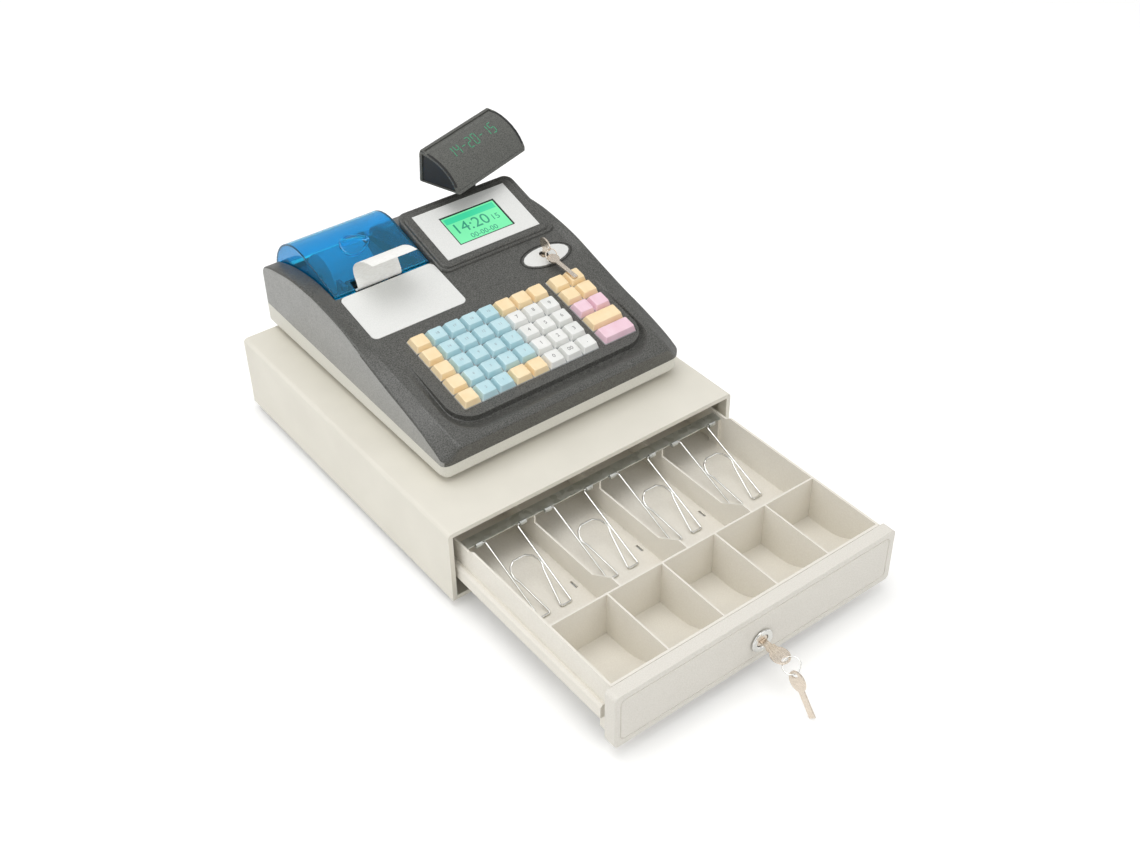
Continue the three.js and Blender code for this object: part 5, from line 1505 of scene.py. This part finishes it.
@dataclass
class ScreenPanel:
    """The operator's screen: the hump it stands on, its silver frame and the lit film."""

    workshop: Workshop
    case: RegisterCase
    tilt: float = 16.5
    centre: Place = (57.05, 226.4, 99.8)
    plate_half: Point = (56.75, 33.8)
    recess: float = 1.3
    window_half: Point = (33.85, 20.65)
    window_shift: Point = (0.35, -1.0)
    screen_half: Point = (37.85, 24.65)
    screen_thickness: float = 2.0
    gap: float = 0.3
    seat_radius: float = 0.6
    hump: tuple[float, float, float, float] = (-12.0, 130.0, 186.0, 272.0)
    hump_radius: float = 10.0
    hump_edge: float = 2.2
    hump_drop: float = 3.0
    panel: tuple[float, float, float, float] = (-9.6, 122.6, 187.5, 264.0)
    panel_radius: float = 8.0
    panel_edge: float = 1.8
    root: float = 0.3
    root_step: float = 0.2
    border_width: float = 1.5
    border_height: float = 0.5
    border_radius: float = 0.3
    band_side: float = 3.4
    band_span: Point = (11.0, 3.2)
    band_radius: float = 0.2
    film: Point = (0.01, 0.05)
    shown: tuple[tuple[str, str, float, Point], ...] = (
        ("time", "14:20", 20.0, (-7.0, 0.0)),
        ("seconds", "15", 10.5, (22.0, -1.8)),
        ("amount", "00-00-00", 9.0, (0.0, -14.2)),
    )
    shown_lift: float = 0.06
    plate_edge: float = 0.25
    glass_edge: float = 0.2

    def height(self, y: float) -> float:
        """Gives the screen plane's height at a distance from the front."""
        return self.centre[2] + math.tan(math.radians(self.tilt)) * (y - self.centre[1])

    def plane(self, lift: float = 0.0) -> Matrix:
        """Gives the screen plane's frame, lifted off it by some millimetres."""
        return self.workshop.register @ tilted(*self.centre, self.tilt) @ Matrix.Translation((0, 0, lift))

    def lid(self, drop: float, _: float, y: float) -> float:
        """Gives the height of a hump's top, some millimetres under the screen plane."""
        return self.height(y) - drop

    def humps(self) -> list[Piece]:
        """Makes the low hump and the panel on it, both with rounded edges.

        Returns:
            The two solids.
        """
        foot = self.case.deck_height(self.hump[2]) - self.case.wall + self.root
        place = self.workshop.register
        shapes = (
            ("hump", rounded(*self.hump, self.hump_radius), foot, self.hump_edge, self.hump_drop),
            ("panel", rounded(*self.panel, self.panel_radius), foot + self.root_step, self.panel_edge, 0.0),
        )
        made = []
        for name, outline, low, edge, drop in shapes:
            slope = partial(self.lid, drop)
            made.append(prism(name, outline, low, 0, place, edge, steps=4, lid=slope))
        return made

    def pockets(self) -> list[Piece]:
        """Makes the cutters of the seats for the frame plate and the screen.

        Returns:
            The two cutters.
        """
        gap = self.gap
        depth = self.recess + self.screen_thickness + 2 * gap
        # Name, middle, half sides, depth and top of each seat
        seats = (
            ("plate_seat", (0.0, 0.0), self.plate_half, self.recess, 6),
            ("screen_seat", self.window_shift, self.screen_half, depth, 5),
        )
        made = []
        for name, middle, (half_x, half_y), down, high in seats:
            outline = rounded_about(middle, (half_x + gap, half_y + gap), self.seat_radius, 2)
            made.append(prism(name, outline, -down, high, self.plane()))
        return made

    def border(self) -> Piece:
        """Makes the dark border round the window.

        Returns:
            The border.
        """
        top, radius = -self.recess, self.border_radius
        wide, deep = self.window_half
        drawn_in = (wide - self.border_width, deep - self.border_width)
        outline = rounded_about(self.window_shift, self.window_half, radius, 2)
        opening = rounded_about(self.window_shift, drawn_in, radius, 2)
        border = prism("screen_border", outline, top, top + self.border_height, self.plane())
        window = prism("border_window", opening, top - 1, top + 2, self.plane())
        return soften(combine(border, [window], Work.CUT))

    def build(self) -> None:
        """Makes the frame plate, the lit film, its border and what it shows."""
        shop = self.workshop
        shop.refine("lcd_plate", "screen_frame", "cabinet", Slot.SILVER, SILVER_FILM, self.plate_edge)
        shop.refine("lcd_screen", "screen_glass", "cabinet", Slot.LCD, LCD_FILM, self.glass_edge)
        shop.fit(self.border(), "cabinet", Slot.BLACK, BLACK_ABS)
        x, y = self.window_shift
        side, rear = self.window_half[0] - self.band_side, y + self.window_half[1]
        low, high = rear - self.band_span[0], rear - self.band_span[1]
        top = -self.recess
        band = rounded(x - side, x + side, low, high, self.band_radius, 1)
        piece = prism("screen_band", band, top + self.film[0], top + self.film[1], self.plane())
        shop.fit(piece, "cabinet", Slot.LCD, LCD_BAND)
        lines = []
        for part, text, size, (right, up) in self.shown:
            place = self.plane(top + self.shown_lift) @ Matrix.Translation((x + right, y + up, 0))
            lines.append(lettering(f"screen_{part}", text, size, place))
        for piece in lines:
            shop.fit(piece, "cabinet", Slot.LCD, LCD_INK)


@dataclass
class Keyboard:
    """The keys, the wells that they sit in and the valley round them."""

    workshop: Workshop
    pitch: Point = (19.7, 20.2)
    columns: int = 8
    rows: int = 5
    left: float = -84.0
    front: float = 45.2
    side_gap: float = 6.9
    base: float = 18.2
    cap_top: Point = (14.6, 13.9)
    sink: float = 1.5
    skirt: float = 2.5
    height: float = 7.5
    well_depth: float = 5.0
    well_margin: float = 0.8
    well_mouth: tuple[Point, ...] = ((0.0, -0.5), (0.5, 0.0), (0.9, 0.4), (0.9, 6.0))
    well_radius: float = 1.2
    dish: float = 0.2
    ink_lift: float = 0.03
    number_size: float = 6.2
    small_number_size: float = 4.2
    cove_outer: tuple[float, float, float, float] = (-116.0, 119.5, 7.5, 33.0)
    cove_panel: tuple[float, float, float, float] = (-107.5, 116.5, 24.0, 25.0)
    cove_end: float = 118.0
    cove_lift: float = 0.06
    cove_roof: float = 5.0
    cove_profile: tuple[Point, ...] = (
        (-0.07, 0.25),
        (0.0, 0.0),
        (0.08, -0.35),
        (0.22, -1.4),
        (0.4, -3.2),
        (0.58, -4.9),
        (0.74, -6.0),
        (0.86, -6.3),
        (0.93, -5.9),
        (0.965, -4.2),
        (0.98, -2.0),
        (0.99, -0.7),
        (1.0, -0.25),
        (1.02, 0.0),
        (1.06, 0.25),
    )
    foot_radius: float = 1.0
    foot_profile: tuple[Point, ...] = (
        (-0.6, 0.0),
        (0.35, 0.0),
        (0.6, 0.3),
        (0.35, 1.2),
        (0.04, 1.4),
        (-0.6, 1.3),
    )

    def column_x(self, column: int) -> float:
        """Gives a column's middle; those past the main block stand in the side block."""
        apart = self.side_gap if column >= self.columns else 0.0
        return self.left + column * self.pitch[0] + apart

    def row_y(self, row: int) -> float:
        """Gives a row's middle, counted from the rear."""
        return self.front + (self.rows - 1 - row) * self.pitch[1]

    def spots(self, columns: Sequence[int], rows: Sequence[int]) -> list[Point]:
        """Gives the middles of the keys in some columns of some rows."""
        return [(self.column_x(column), self.row_y(row)) for row in rows for column in columns]

    def channel(self, shape: tuple[float, float, float, float]) -> Outline:
        """Gives an open U round the keyboard: down the left side, along the front and up the right.

        Args:
            shape: The left, right and front sides, and the radius of the corners.

        Returns:
            The points.
        """
        left, right, front, radius = shape
        sides = 6
        drop = [self.cove_end + (front + radius - self.cove_end) * i / sides for i in range(sides)]
        corner_left = arc((left + radius, front + radius), radius, 180, 270, 12)
        corner_right = arc((right - radius, front + radius), radius, 270, 360, 12)
        return [(left, y) for y in drop] + corner_left + corner_right + [(right, y) for y in reversed(drop)]

    def cutters(self) -> list[Piece]:
        """Makes the cutters of the key wells and of the valley.

        Returns:
            The cutters.
        """
        reach = self.base / 2 + self.well_margin
        front, rear = self.front - reach, self.row_y(0) + reach
        last = self.columns - 1
        mouth = ((0.0, -self.well_depth), *self.well_mouth)
        tools = []
        for first_column, last_column in ((0, last), (last + 1, last + 2)):
            left, right = self.column_x(first_column) - reach, self.column_x(last_column) + reach
            levels = []
            for grow, z in mouth:
                radius = self.well_radius + grow
                levels.append((rounded(left - grow, right + grow, front - grow, rear + grow, radius, 3), z))
            tools.append(loft("well_cutter", rings_at(levels), self.workshop.deck))
        return tools + [self.valley()]

    def valley(self) -> Piece:
        """Makes the cutter of the valley, which runs out beside the rear row of keys.

        Returns:
            The cutter: the valley's surface with a roof and walls over it.
        """
        outer, panel = self.channel(self.cove_outer), self.channel(self.cove_panel)
        points: list[Place] = []
        size = len(outer)
        lift = self.cove_lift
        for share, depth in self.cove_profile:
            for (ax, ay), (bx, by) in zip(outer, panel):
                x, y = ax + (bx - ax) * share, ay + (by - ay) * share
                y = min(y, self.cove_end)
                fade = max(0.0, min(1.0, (self.cove_end - y) / (self.cove_end - self.cove_panel[2])))
                points.append((x, y, depth * fade + lift if depth < 0 else depth + lift))
        rows = len(self.cove_profile)
        for row in (0, rows - 1):
            points += [(x, y, self.cove_roof) for x, y, _ in points[row * size : (row + 1) * size]]
        first_top, last_top = rows * size, (rows + 1) * size
        faces: list[Sequence[int]] = []
        for i in range(size - 1):
            for row in range(rows - 1):
                a = row * size + i
                faces.append((a, a + 1, a + 1 + size, a + size))
            faces.append((i, first_top + i, first_top + i + 1, i + 1))
            edge = (rows - 1) * size + i
            faces.append((edge, edge + 1, last_top + i + 1, last_top + i))
            faces.append((first_top + i, last_top + i, last_top + i + 1, first_top + i + 1))
        for i in (0, size - 1):
            faces.append([row * size + i for row in range(rows)] + [last_top + i, first_top + i])
        return mesh_object("valley_cutter", points, faces, self.workshop.deck)

    def cap(self, name: str, spot: Point, width: float) -> list[Piece]:
        """Makes one key: the coloured cap and the clear foot of its cover.

        Args:
            name: The piece's name.
            spot: Its middle on the deck.
            width: Its width.

        Returns:
            The cap and the clear foot.
        """
        place = self.workshop.deck @ Matrix.Translation((*spot, 0))
        bottom, half_x, half_y = -self.sink, width / 2, self.base / 2
        top = bottom + self.height
        taper_x = (self.base - self.cap_top[0]) / 2
        taper_y = (self.base - self.cap_top[1]) / 2
        # Share of the taper, further way in, height and corner radius, from the skirt to the dished top
        steps = (
            (0.0, 0.0, bottom, 1.0),
            (0.0, 0.0, bottom + self.skirt * 0.55, 1.0),
            (0.0, 0.3, bottom + self.skirt, 1.1),
            (0.82, 0.0, top - 0.9, 1.4),
            (0.95, 0.0, top - 0.2, 1.4),
            (1.0, 0.35, top, 1.3),
            (1.0, 1.0, top, 1.0),
            (1.0, 1.2, top - self.dish, 0.9),
        )
        middle = (0.0, 0.0)
        levels = []
        for share, further, z, radius in steps:
            half = (half_x - (taper_x * share + further), half_y - (taper_y * share + further))
            levels.append((rounded_about(middle, half, radius, 3), z))
        foot_levels = []
        for grow, rise in self.foot_profile:
            half = (half_x + grow, half_y + grow)
            foot_levels.append((rounded_about(middle, half, self.foot_radius, 3), bottom + rise))
        top_part = loft(name, rings_at(levels), place)
        return [top_part, loft(name + "_foot", rings_at(foot_levels), place, closed=True)]

    def bank(
        self, node: str, spots: Sequence[Point], slot: Slot, finish: Finish, width: float | None = None
    ) -> None:
        """Makes the keys that move as one CAD body.

        Args:
            node: The CAD node, whose body has its name.
            spots: The middles of its keys.
            slot: Its material slot.
            finish: Its caps' finish.
            width: The caps' width where it isn't the usual one.
        """
        shop = self.workshop
        made = [self.cap(node, spot, width or self.base) for spot in spots]
        caps = merged(f"{node}_caps", [pair[0] for pair in made])
        feet = merged(f"{node}_clear_feet", [pair[1] for pair in made])
        shop.fit(soften(caps, angle=28.0), node, slot, finish, node)
        # The clear feet carry a matt near-white share: painted highlights on their rims.
        shop.fit(soften(feet, angle=40.0), node, slot, CLEAR_ACRYLIC)

    def legends(
        self, node: str, marks: Sequence[tuple[str, Point]], size: float, finish: Finish, slot: Slot
    ) -> None:
        """Prints plain digits on a body's keys.

        Args:
            node: The CAD body.
            marks: Each digit with its key's middle.
            size: Height of the type.
            finish: The ink.
            slot: The key's material slot.
        """
        top = self.height - self.sink - self.dish
        parts = []
        for text, spot in marks:
            place = self.workshop.deck @ Matrix.Translation((*spot, top + self.ink_lift))
            parts.append(lettering(f"{node}_digit_{text}", text, size, place))
        self.workshop.fit(merged(f"{node}_digits", parts), node, slot, finish)

    def build(self) -> None:
        """Makes all the keys."""
        departments = self.spots([1, 2, 3, 4], range(4)) + self.spots([1, 2], [4])
        side = self.columns
        middle = (self.column_x(side) + self.column_x(side + 1)) / 2
        wide = self.base + self.pitch[0]
        self.bank("function_keys", self.spots([0], range(self.rows)), Slot.BEIGE, BEIGE_CAP)
        self.bank("department_keys", departments, Slot.BLUE, BLUE_CAP)
        self.bank("tax_keys", self.spots([5, 6, 7], [0]), Slot.BEIGE, BEIGE_CAP)
        self.bank("clerk_keys", self.spots([3, 4], [4]), Slot.BEIGE, BEIGE_CAP)
        self.bank("side_beige_keys", self.spots([side, side + 1], [0, 1]), Slot.BEIGE, BEIGE_CAP)
        self.bank("side_pink_keys", self.spots([side, side + 1], [2]), Slot.PINK, PINK_CAP)
        self.bank("total_key", [(middle, self.row_y(3))], Slot.BEIGE, BEIGE_CAP, wide)
        self.bank("cash_key", [(middle, self.row_y(4))], Slot.PINK, PINK_CAP, wide)
        marks = [(str(len(departments) - i), spot) for i, spot in enumerate(departments)]
        self.legends("department_keys", marks, self.small_number_size, PALE_INK, Slot.BLUE)
        grid = (("7", "8", "9"), ("4", "5", "6"), ("1", "2", "3"), ("0", "00", "."))
        names = {".": "point"}
        for row, texts in enumerate(grid):
            for column, text in enumerate(texts):
                node = f"key_{names.get(text, text)}"
                spot = (self.column_x(5 + column), self.row_y(1 + row))
                self.bank(node, [spot], Slot.WHITE, WHITE_CAP)
                self.legends(node, [(text, spot)], self.number_size, BLACK_INK, Slot.WHITE)


@dataclass
class ModeLock:
    """The mode switch: a silver oval, its lock and the keys in it."""

    workshop: Workshop
    lock_place: Point = (94.6, 161.7)
    plate_place: Point = (96.0, 159.5)
    plate_half: Point = (27.0, 12.5)
    plate_gap: float = 0.3
    seat_depth: float = 0.7
    hole: float = 5.0
    hole_depth: float = 24.0
    groove: tuple[Point, ...] = (
        (1.7, 0.4),
        (2.0, -0.9),
        (2.4, -1.4),
        (2.9, -1.5),
        (3.3, -1.2),
        (3.6, -0.4),
        (4.2, 0.4),
    )
    plate_edge: float = 0.2
    plug_edge: float = 0.3
    key_edge: float = 0.25
    ring_edge: float = 0.2

    def oval(self, grow: float) -> Outline:
        """Gives the plate's outline on the deck, grown by some millimetres."""
        middle = (self.plate_place[0], self.workshop.along_deck(self.plate_place[1]))
        return ellipse(middle, self.plate_half[0] + grow, self.plate_half[1] + grow, 64)

    def cutters(self) -> list[Piece]:
        """Makes the cutters of the plate's seat, the groove round it and the lock's hole.

        Returns:
            The three cutters.
        """
        shop = self.workshop
        seat = prism("oval_seat", self.oval(self.plate_gap), -self.seat_depth, 6, shop.deck)
        rings = rings_at((self.oval(grow), z) for grow, z in self.groove)
        groove = loft("oval_groove", rings, shop.deck, closed=True)
        middle = (self.lock_place[0], shop.along_deck(self.lock_place[1]))
        outline = ellipse(middle, self.hole, self.hole, 32)
        return [seat, groove, prism("lock_hole", outline, -self.hole_depth, 7, shop.deck)]

    def build(self) -> None:
        """Dresses the plate, the lock and its keys."""
        shop = self.workshop
        nickel = (Slot.NICKEL, NICKEL)
        shop.refine("mode_plate", "mode_oval", "cabinet", Slot.SILVER, SILVER_FILM, self.plate_edge)
        shop.refine("mode_lock_barrel", "mode_plug", "mode_lock", *nickel, self.plug_edge)
        shop.refine("mode_key", "mode_key_metal", "mode_lock", *nickel, self.key_edge)
        shop.refine("mode_key_ring", "mode_spare_key", "mode_key_ring", *nickel, self.ring_edge)


@dataclass
class Printer:
    """The receipt printer: its bay, the blue cover, the paper and the silver plate in front."""

    workshop: Workshop
    bay: tuple[float, float, float, float] = (-122.0, -12.0, 208.0, 331.0)
    bay_floor: float = 48.0
    gap: float = 1.3
    wall: float = 2.0
    arc_centre: Point = (283.0, 56.0)
    arc_radius: float = 51.0
    arc_end: float = 112.0
    front: Point = (209.5, 87.6)
    rear: Point = (333.0, 62.0)
    rear_lean: float = 3.0
    skirt: float = 3.0
    flat: float = 6.0
    rise: float = 1.5
    hinge: Point = (326.0, 66.0)
    hinge_radius: float = 2.0
    hinge_ear: float = 5.0
    hinge_root: float = 0.4
    notch: tuple[float, float, float] = (-98.0, -44.0, 13.0)
    notch_radius: float = 2.0
    notch_overrun: float = 6.0
    lip: Point = (4.5, 4.0)
    lip_back: float = 0.5
    lip_radius: float = 0.8
    lip_end: float = 1.0
    lip_edge: float = 0.4
    cover_edge: float = 0.7
    open_foot: float = 6.0
    grip_place: Point = (-66.0, 261.0)
    grip_half: Point = (16.5, 11.5)
    grip_taper: float = 0.35
    grip_levels: tuple[Point, ...] = (
        (0.0, -1.2),
        (0.0, 1.3),
        (0.5, 2.2),
        (1.4, 2.6),
        (2.4, 2.2),
        (4.2, 0.9),
        (7.0, 0.2),
    )
    platen_middle: Point = (230.0, 79.0)
    platen_reach: float = 6.1
    platen_wrap: Point = (261.0, 193.0)
    paper_span: Point = (-95.9, -45.9)
    paper_thickness: float = 0.3
    paper_start: Point = (254.6, 66.0)
    paper_route: tuple[Point, ...] = (
        (217.6, 82.2),
        (211.2, 84.6),
        (208.5, 88.0),
        (208.6, 92.6),
        (211.4, 98.4),
        (213.6, 104.0),
        (212.8, 110.6),
        (207.4, 117.7),
        (197.5, 124.4),
        (186.4, 128.9),
        (173.6, 131.2),
    )
    plate: tuple[float, float, float, float] = (-118.5, -11.5, 144.0, 206.5)
    plate_radius: float = 6.0
    plate_gap: float = 0.3
    plate_rear_gap: float = 6.0
    seat_depth: float = 0.7
    plate_edge: float = 0.2
    frame_edge: float = 0.4
    roll_edge: float = 0.5
    platen_edge: float = 0.3

    def cutters(self) -> list[Piece]:
        """Makes the cutters of the bay and of the plate's seat.

        Returns:
            The two cutters.
        """
        shop = self.workshop
        bay = prism("bay", rounded(*self.bay, 0.6, 2), self.bay_floor, 180, shop.register)
        left, right, front, rear = self.plate
        gap = self.plate_gap
        front, rear = shop.along_deck(front) - gap, shop.along_deck(rear) + self.plate_rear_gap
        seat = rounded(left - gap, right + gap, front, rear, self.plate_radius)
        return [bay, prism("plate_seat_front", seat, -self.seat_depth, 8, shop.deck)]

    def profile(self, thin: float) -> Outline:
        """Gives the cover's side outline, counter-clockwise.

        Args:
            thin: How far it is drawn in; where it is, it also reaches out at the foot, to cut it open.

        Returns:
            The points in y and z.
        """
        centre, radius = self.arc_centre, self.arc_radius - thin
        start = math.degrees(math.atan2(self.rear[1] - centre[1], self.rear[0] - centre[0]))
        foot = -self.open_foot if thin else 0.0
        return [
            (self.front[0] + thin, self.front[1] - self.skirt + foot),
            (self.rear[0] - thin - self.rear_lean, self.rear[1] + foot),
            *arc(centre, radius, start, self.arc_end, 30),
            (self.front[0] + self.flat, self.front[1] + self.rise - thin),
            (self.front[0] + thin, self.front[1] - thin),
        ]

    def cover(self) -> Piece:
        """Makes the clear blue cover with its paper notch, hinge pins and thumb grip.

        Returns:
            The cover.
        """
        place, wall = self.workshop.register, self.wall
        left, right = self.bay[0] + self.gap, self.bay[1] - self.gap
        outer = across("cover_shell", self.profile(0.0), left, right, place, self.cover_edge)
        inner = across("cover_inside", self.profile(wall), left + wall, right - wall, place)
        notch_left, notch_right, deep = self.notch
        front, high = self.front
        ahead = front - self.notch_overrun
        opening = rounded(notch_left, notch_right, ahead, front + deep, self.notch_radius, 4)
        reach, depth = self.lip
        back = self.lip_back
        bar = rounded(front + back, front + reach, high - depth, high - back, self.lip_radius, 3)
        lip = across("lip", bar, left + self.lip_end, right - self.lip_end, place, self.lip_edge)
        combine(outer, [inner], Work.CUT)
        combine(outer, [lip, self.grip()], Work.JOIN)
        combine(outer, [prism("notch", opening, 0, 178, place)], Work.CUT)
        pin = ellipse(self.hinge, self.hinge_radius, self.hinge_radius, 20)
        pins = []
        for x in (left + wall, right - wall - self.hinge_ear):
            pins.append(across("pin", pin, x - self.hinge_root, x + self.hinge_ear, place))
        return combine(outer, pins, Work.JOIN)

    def grip(self) -> Piece:
        """Makes the dished, egg-shaped rim on the cover's slope that a thumb pushes against.

        Returns:
            The rim's solid.
        """
        x, y = self.grip_place
        away = y - self.arc_centre[0]
        height = math.sqrt(self.arc_radius**2 - away**2)
        slope = math.degrees(math.asin(-away / self.arc_radius))
        place = self.workshop.register @ tilted(x, y, self.arc_centre[1] + height, slope)
        rings = []
        for drawn_in, z in self.grip_levels:
            ring = ellipse((0.0, 0.0), self.grip_half[0] - drawn_in, self.grip_half[1] - drawn_in)
            rings.append([(x, y * (1 - self.grip_taper * x / self.grip_half[0]), z) for x, y in ring])
        return loft("grip", rings, place)

    def paper(self) -> Piece:
        """Makes the paper's free end: off the roll, round the platen, up and curled to the front.

        Returns:
            The strip.
        """
        wrap = arc(self.platen_middle, self.platen_reach, *self.platen_wrap, 5)
        route = [Vector((0.0, a, b)) for a, b in wrap + list(self.paper_route)]
        path = [Vector((0.0, *self.paper_start))] + smooth_path(route, 5)
        left, right = self.paper_span
        corners = ((left, -1), (right, -1), (right, 1), (left, 1))
        half = self.paper_thickness / 2
        rings = []
        for i, point in enumerate(path):
            along = (path[min(i + 1, len(path) - 1)] - path[max(i - 1, 0)]).normalized()
            normal = Vector((0.0, -along.z, along.y)) * half
            rings.append([(x, point.y + side * normal.y, point.z + side * normal.z) for x, side in corners])
        return soften(loft("receipt_strip", rings, self.workshop.register), angle=40.0)

    def build(self) -> None:
        """Makes the cover and dresses what it hides."""
        shop = self.workshop
        cover = soften(self.cover(), angle=28.0)
        shop.fit(cover, "printer_cover", Slot.COVER, BLUE_ACRYLIC, "printer_cover")
        film = ("cabinet", Slot.SILVER, SILVER_FILM, self.plate_edge)
        shop.refine("printer_plate", "front_silver_plate", *film)
        # The black frame takes a slate grey: painted reflection of the cover's haze.
        shop.refine("printer_frame", "printer_chassis", "cabinet", Slot.BLACK, CHASSIS_ABS_PAINTED_HAZE, self.frame_edge)
        shop.refine("paper_roll", "paper_roll_white", "paper_roll", Slot.PAPER, PAPER, self.roll_edge)
        shop.refine("platen_roller", "platen_rubber", "platen_roller", Slot.FOOT, RUBBER, self.platen_edge)
        shop.fit(self.paper(), "cabinet", Slot.PAPER, PAPER, "receipt_paper")


@dataclass
class CustomerDisplay:
    """The turning display at the rear: a dark wedge with lit digits on its bowed window."""

    workshop: Workshop
    place: Place = (84.8, 286.4, 167.6)
    length: float = 115.7
    yaw: float = 18.0
    height: float = 36.7
    forward: float = 47.8
    axis_share: float = 0.49
    axis_forward: float = 10.6
    bow: Point = (0.78, 0.16)
    bow_steps: int = 60
    corner: float = 5.5
    shell_edge: float = 0.7
    window_margin: float = 3.0
    window_edge: float = 0.3
    neck_edge: float = 0.5
    recess_span: Point = (0.8, 1.6)
    shown: str = "14-20-15"
    digit: Point = (5.6, 12.6)
    pitch: float = 9.6
    digits_down: float = 17.5
    digit_lift: Point = (0.02, 0.14)
    stroke: float = 0.75
    point_share: float = 0.55
    slant: float = 0.12
    segments: dict[str, str] = field(
        default_factory=lambda: {"0": "abcdef", "1": "bc", "2": "abged", "4": "fgbc", "5": "afgcd", "-": "g"}
    )

    def frame(self) -> Matrix:
        """Gives the housing's frame: x along it, y to its back, z up from its top edge.

        Returns:
            The frame, in millimetres.
        """
        turn = Matrix.Rotation(math.radians(self.yaw), 4, "Z")
        shift = Matrix.Translation((-self.length * self.axis_share, self.axis_forward, 0.0))
        return self.workshop.register @ Matrix.Translation(self.place) @ turn @ shift

    def on_bow(self, x: float, down: float, out: float) -> Place:
        """Gives a point near the bowed window.

        Args:
            x: Its place along the housing.
            down: How far down the window it is, measured along the bow.
            out: How far out of the window it stands.

        Returns:
            The point in the housing's frame.
        """
        bend = Vector((self.forward * self.bow[0], -self.height * self.bow[1]))
        foot = Vector((self.forward, -self.height))
        walked = 0.0
        here, way = Vector((0.0, 0.0)), bend.normalized()
        for i in range(1, self.bow_steps + 1):
            t = i / self.bow_steps
            after = 2 * t * (1 - t) * bend + t * t * foot
            step = (after - here).length
            way = (after - here).normalized()
            if walked + step >= down:
                here = here + way * (down - walked)
                break
            walked += step
            here = after
        return x, -(here.x - way.y * out), here.y + way.x * out

    def bar(self, start: Point, end: Point) -> Outline:
        """Gives one lit segment, with pointed ends.

        Args:
            start: The digit's corner that it comes from.
            end: The corner that it goes to.

        Returns:
            The segment's six points.
        """
        a, b = Vector(start), Vector(end)
        along = (b - a).normalized()
        aside = Vector((-along.y, along.x)) * self.stroke / 2
        a, b = a + along * self.stroke * self.point_share, b - along * self.stroke * self.point_share
        inner, outer = a + along * self.stroke / 2, b - along * self.stroke / 2
        return [tuple(v) for v in (a, inner - aside, outer - aside, b, outer + aside, inner + aside)]

    def digits(self) -> Piece:
        """Makes the lit segments of what the window shows.

        Returns:
            The segments as one piece.
        """
        wide, tall = self.digit
        spots = {"a": ((0, 0), (1, 0)), "b": ((1, 0), (1, 1)), "c": ((1, 1), (1, 2)), "d": ((0, 2), (1, 2))}
        spots |= {"e": ((0, 1), (0, 2)), "f": ((0, 0), (0, 1)), "g": ((0, 1), (1, 1))}
        start = (self.length - self.pitch * len(self.shown)) / 2 + (self.pitch - wide) / 2
        solids = []
        for place, character in enumerate(self.shown):
            for letter in self.segments[character]:
                ends = []
                for right, half_down in spots[letter]:
                    down = half_down * tall / 2
                    lean = self.slant * (tall / 2 - down)
                    ends.append((start + place * self.pitch + right * wide + lean, down))
                flat = self.bar(*ends)
                rings = []
                for out in self.digit_lift:
                    rings.append([self.on_bow(x, self.digits_down + down, out) for x, down in flat])
                solids.append(loft(f"segment_{place}_{letter}", rings, self.frame()))
        return merged("display_digits", solids)

    def rounded_ends(self, node: str, name: str, margin: float) -> Piece:
        """Copies a node of the display with the corners of its front view rounded.

        Args:
            node: The CAD node.
            name: The new piece's name.
            margin: How far the node stays inside the housing's front view.

        Returns:
            The piece.
        """
        piece = self.workshop.copy_of(node, name)
        low, high = -self.height - 1 + margin, 1 - margin
        view = rounded(margin, self.length - margin, low, high, self.corner - margin, 8)
        upright = self.frame() @ Matrix.Rotation(math.radians(90), 4, "X")
        blank = prism(name + "_view", view, -3 * self.forward, 3 * self.forward, upright)
        return combine(piece, [blank], Work.KEEP_INSIDE)

    def in_recess(self, middle: Vector, _: Vector) -> bool:
        """Says whether a face is the floor of one of the shallow recesses in the ends."""
        low, high = self.recess_span
        return low < min(middle.x, self.length - middle.x) < high

    def build(self) -> None:
        """Dresses the housing, the window and the neck, and lights the digits."""
        shop = self.workshop
        shell = self.rounded_ends("display_housing", "display_shell", 0.0)
        soften(shell, self.shell_edge, 3)
        shop.fit(shell, "display", Slot.LENS, DISPLAY_ABS, "display_housing")
        shop.second_finish(shell, BLACK_ABS, self.in_recess, self.frame())
        window = self.rounded_ends("display_lens", "display_window", self.window_margin)
        soften(window, self.window_edge)
        shop.fit(window, "display", Slot.LENS, DISPLAY_ABS, "display_lens")
        shop.refine("display_neck", "display_stem", "cabinet", Slot.BLACK, BLACK_ABS, self.neck_edge)
        shop.fit(self.digits(), "display", Slot.LCD, LIT_SEGMENTS)


def dress_all(frame: Frame) -> None:
    """Builds the studio and every sub-assembly in order."""
    shop = Workshop(frame)
    Studio(shop).build()
    Cabinet(shop).build()
    Drawer(shop).build()
    BillClips(shop).build()
    DrawerLock(shop).build()
    case = RegisterCase(shop)
    case.build()
    ScreenPanel(shop, case).build()
    Keyboard(shop).build()
    ModeLock(shop).build()
    Printer(shop).build()
    CustomerDisplay(shop).build()


def main() -> None:
    """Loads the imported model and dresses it."""
    logging.basicConfig(level=logging.INFO, format="%(message)s")
    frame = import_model()
    dress_all(frame)


if __name__ == "__main__":
    main()
